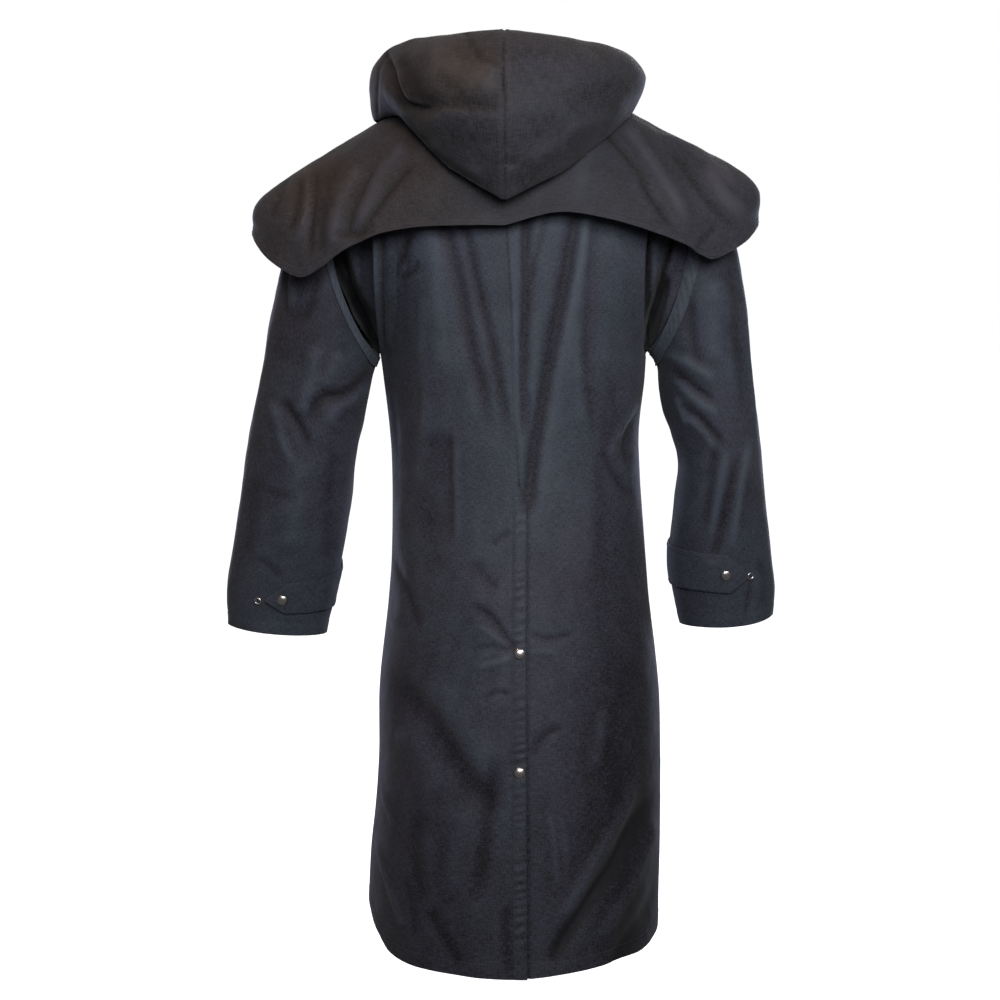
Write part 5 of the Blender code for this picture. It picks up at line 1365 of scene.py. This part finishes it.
def make_hood(cape):
    """The two halves of the hood, joined by the felled seam down the middle of the back. It rests on the cape."""
    below = tree_of([cape])
    for side, word in SIDES:
        grid = hood_grid(side)
        rest_on(grid, below)
        down = np.linspace(0, 1, len(grid))[:, None]
        out = unit(grid - grid[HOOD_HANGING_ROWS].mean(0).mean(0)) * (down > 0.2)[..., None]
        normals = normals_of(grid, out)
        places = seen(grid)
        relief = fold_relief(places, HOOD_FOLDS) * smooth_step(0.02, 0.30, toward_eye(grid, normals))
        relief += ripple(grid, 0.040, 0.0014, 71) + ripple(grid, 0.015, 0.0004, 72)
        from_seam = arc_lengths(grid, 1)
        relief += valley(from_seam, 0.0018, 0.0024) + 0.0007 * np.exp(-((from_seam / 0.008) ** 6))
        relief += valley(from_seam - 0.0062, 0.0010, 0.0006)
        relief *= smooth_step(0.02, 0.2, down)
        outer = grid + normals * relief[..., None]
        piece = cloth("cloth_hood_" + word, outer, normals, "waxed_cotton_cape",
                      shade_and_wear_marks=crests(relief) + painted_patches(places, HOOD_PAINTED_SHADE), parts=["hood_" + word])
        carried = normals_with(outer, normals)[HOOD_SEWN_ROW:]
        STITCHES["hood_" + word] = [line_in(carried, 0.020, 0, True)]
        if side > 0:
            STITCHES["hood_" + word].append(line_in(carried, 0.0064, 1))


def stitch_mesh(name, lines, pitch=0.0036, length=0.0026, half_width=0.00042):
    """Rows of single stitches lying on the cloth. Each line is a run of points with their normals."""
    corners, faces = [], []
    for line in lines:
        place, out = line[:, :3], unit(line[:, 3:])
        walk = arc_lengths(place[None], 1)[0]
        starts = np.arange(pitch, walk[-1] - pitch, pitch)
        at = np.stack([np.interp(starts, walk, place[:, k]) for k in range(3)], -1)
        to = np.stack([np.interp(starts + length, walk, place[:, k]) for k in range(3)], -1)
        up = unit(np.stack([np.interp(starts, walk, out[:, k]) for k in range(3)], -1))
        along = unit(to - at)
        wide = unit(np.cross(along, up)) * half_width
        high = up * half_width
        for n in range(len(starts)):
            base = len(corners)
            for share, size in ((0.0, 0.35), (0.25, 1.0), (0.75, 1.0), (1.0, 0.35)):
                middle = at[n] + (to[n] - at[n]) * share + high[n] * 0.5
                for a, b in ((-1, 0), (-0.6, 0.9), (0.6, 0.9), (1, 0), (0, -1)):
                    corners.append(middle + (wide[n] * a + high[n] * b) * size)
            for ring in range(3):
                for k in range(5):
                    m = (k + 1) % 5
                    low, top = base + ring * 5, base + ring * 5 + 5
                    faces.append((low + k, low + m, top + m, top + k))
            faces.append(tuple(base + k for k in (4, 3, 2, 1, 0)))
            faces.append(tuple(base + 15 + k for k in range(5)))
    mesh = bpy.data.meshes.new(name)
    mesh.from_pydata([tuple(c) for c in corners], [], faces)
    mesh.shade_smooth()
    placed(name, mesh, THREAD)


def make_stitches(panels):
    """All the sewing that shows."""
    for name, (outer, normals) in panels.items():
        carried = normals_with(outer, normals)
        lines = [line_in(carried, HEM_SEWN, 0)]
        lower = carried[: int((VENT_TOP_Z - HEM_Z) / SPACING)]
        upper = carried[int((VENT_TOP_Z - HEM_Z) / SPACING):]
        if name == "back_left":
            lines.append(line_in(lower, 0.0185, 1))
            lines.append(line_in(upper, 0.0030, 1))
            lines += [upper[row, :7] for row in (1, 4)]
        if name == "back_right":
            lines.append(line_in(upper, 0.0030, 1))
        if name == "front_left":
            lines.append(line_in(carried, 0.0060, 1))
            lines.append(line_in(carried, 0.0460, 1))
        stitch_mesh("stitches_" + name, lines)
    for name, lines in STITCHES.items():
        stitch_mesh("stitches_" + name, lines)


def seat_of(node, tree):
    """Where a stud sits on the cloth, and the way it points."""
    corners = np.array([v.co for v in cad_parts[node].data.vertices])
    middle = corners.mean(0)
    axis = np.linalg.svd(corners - middle)[2][2]
    if np.dot(axis, middle * (1, 1, 0)) < 0:
        axis = -axis
    if node.startswith("cuff") and axis[1] > 0:
        axis = -axis
    seat = tree.ray_cast(Vector(middle + axis * 0.02), Vector(-axis), 0.06)[0] or Vector(middle)
    return seat, Vector(axis)


def turned_piece(name, node, profile, tree, finish="stud_metal", sides=40):
    """A round piece turned from (radius, height) points. It stands where its solid does, seated on the cloth."""
    seat, out = seat_of(node, tree)
    around = out.orthogonal().normalized()
    other = out.cross(around)
    points, faces = [], []
    for radius, height in profile:
        for n in range(sides):
            angle = 2 * math.pi * n / sides
            points.append(seat + (around * math.cos(angle) + other * math.sin(angle)) * radius + out * height)
    for ring in range(len(profile) - 1):
        for n in range(sides):
            m = (n + 1) % sides
            faces.append((ring * sides + n, ring * sides + m, ring * sides + sides + m, ring * sides + sides + n))
    faces.append(tuple(range(sides))[::-1])
    faces.append(tuple((len(profile) - 1) * sides + n for n in range(sides)))
    mesh = bpy.data.meshes.new(name)
    mesh.from_pydata([tuple(p) for p in points], [], faces)
    mesh.shade_smooth()
    mesh.set_sharp_from_angle(angle=math.radians(50))
    made = placed(name, mesh, FINISHES[finish])
    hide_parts(node)


# Profiles of a stud's cap and of a socket: radius and height above the cloth.
CAP = ((0.0076, -0.0008), (0.0078, 0.0002), (0.0077, 0.0010), (0.0071, 0.0016), (0.0060, 0.0023), (0.0047, 0.0028),
       (0.0032, 0.0032), (0.0017, 0.0034), (0.0004, 0.0035))
SOCKET = ((0.0060, -0.0006), (0.0062, 0.0006), (0.0059, 0.0014), (0.0051, 0.0019), (0.0041, 0.0018), (0.0034, 0.0012),
          (0.0031, 0.0002), (0.0029, -0.0010), (0.0012, -0.0010), (0.0006, -0.0008))


def make_studs():
    """Press studs, seated on the pieces that carry them."""
    tree = BVHTree.FromPolygons(*carrier())
    for node in sorted(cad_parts):
        if "stud" in node:
            turned_piece("metal_" + node, node, CAP, tree)
        if "socket" in node:
            turned_piece("metal_" + node, node, SOCKET, tree)


def carrier():
    """The skins of the pieces that studs sit on."""
    corners, faces = [], []
    for name in ("cloth_back_left", "cloth_front_left", "cloth_strap_left", "cloth_strap_right", "cloth_sleeve_left",
                 "cloth_sleeve_right"):
        mesh = bpy.data.objects[name].data
        start = len(corners)
        corners += [tuple(v.co) for v in mesh.vertices]
        faces += [[start + k for k in p.vertices] for p in mesh.polygons]
    return corners, faces


def area_light(name, place, aim, size, power, color=(1, 1, 1)):
    """A soft rectangular light, size in metres and power in watts."""
    data = bpy.data.lights.new(name, "AREA")
    data.shape, data.size, data.size_y = "RECTANGLE", *size
    data.energy, data.color = power, color
    light = bpy.data.objects.new(name, data)
    light.location = place
    light.rotation_euler = (Vector(aim) - Vector(place)).to_track_quat("-Z", "Y").to_euler()
    bpy.context.scene.collection.objects.link(light)


def make_camera():
    """The camera, at the photograph's viewing angle."""
    scene = bpy.context.scene
    data = bpy.data.cameras.new("camera")
    data.sensor_width, data.lens = SENSOR, FOCAL * SENSOR / 1000
    camera = bpy.data.objects.new("camera", data)
    camera.location = EYE
    camera.rotation_euler = (math.pi / 2 - TIP_DOWN, 0, 0)
    scene.collection.objects.link(camera)
    scene.camera = camera
    scene.view_settings.view_transform = "Standard"


def make_lights():
    """Soft lights from above, beside and behind the coat, and a plain bright background."""
    scene = bpy.context.scene
    area_light("key", (0.25, -2.40, 0.62), (0, 0, 0.34), (1.5, 1.2), 67, (0.93, 0.97, 1.0))
    area_light("shoulder", (1.3, -1.6, 0.65), (0.30, 0, -0.10), (0.6, 0.6), 12, (1.0, 0.97, 0.94))
    area_light("top", (-1.1, -0.7, 1.6), (-0.12, 0, 0.0), (0.5, 0.5), 14, (1.0, 0.56, 0.30))
    area_light("rim_left", (-1.5, 2.1, -0.6), (0, 0, -0.7), (0.3, 2.0), 20, (0.62, 0.68, 1.0))
    area_light("rim_right", (1.5, 2.1, -0.5), (0, 0, -0.6), (0.3, 1.8), 20, (0.62, 0.68, 1.0))
    area_light("front_side", (0.4, 3.4, 1.2), (0, 0, -0.6), (2.0, 1.5), 45)
    world = bpy.data.worlds.new("studio")
    scene.world = world
    world.use_nodes = True
    nodes, links = world.node_tree.nodes, world.node_tree.links
    ray = nodes.new("ShaderNodeLightPath")
    strength = nodes.new("ShaderNodeMapRange")
    strength.inputs["To Min"].default_value = 0.11
    strength.inputs["To Max"].default_value = 1.0
    background = nodes["Background"]
    background.inputs["Color"].default_value = (1, 1, 1, 1)
    links.new(ray.outputs["Is Camera Ray"], strength.inputs["Value"])
    links.new(strength.outputs["Result"], background.inputs["Strength"])


def make_floor():
    """A pale floor, under the coat."""
    size, z = 40.0, -1.50
    mesh = bpy.data.meshes.new("floor")
    mesh.from_pydata([(-size, -size, z), (size, -size, z), (size, size, z), (-size, size, z)], [], [(0, 1, 2, 3)])
    floor = bpy.data.objects.new("floor", mesh)
    bpy.context.scene.collection.objects.link(floor)
    paint = Paint("pale_floor")
    floor.data.materials.append(paint.finish(Base_Color=(0.8, 0.8, 0.8, 1), Roughness=0.9, Specular_IOR_Level=0.0,
                                             Emission_Color=(1, 1, 1, 1), Emission_Strength=1.0))
    floor.visible_diffuse = False
    floor.visible_glossy = False


def main():
    """Makes the studio, then the coat from its body outwards."""
    make_camera()
    make_lights()
    make_floor()
    panels = make_body()
    make_gussets()
    sleeves = make_sleeves()
    body = tree_of([grid for grid, _ in panels.values()])
    arms = tree_of([grid for grid, _ in sleeves.values()], closed=True)
    cape = make_cape([body, arms])
    make_stand()
    make_hood(cape)
    make_stitches(panels)
    make_studs()


main()
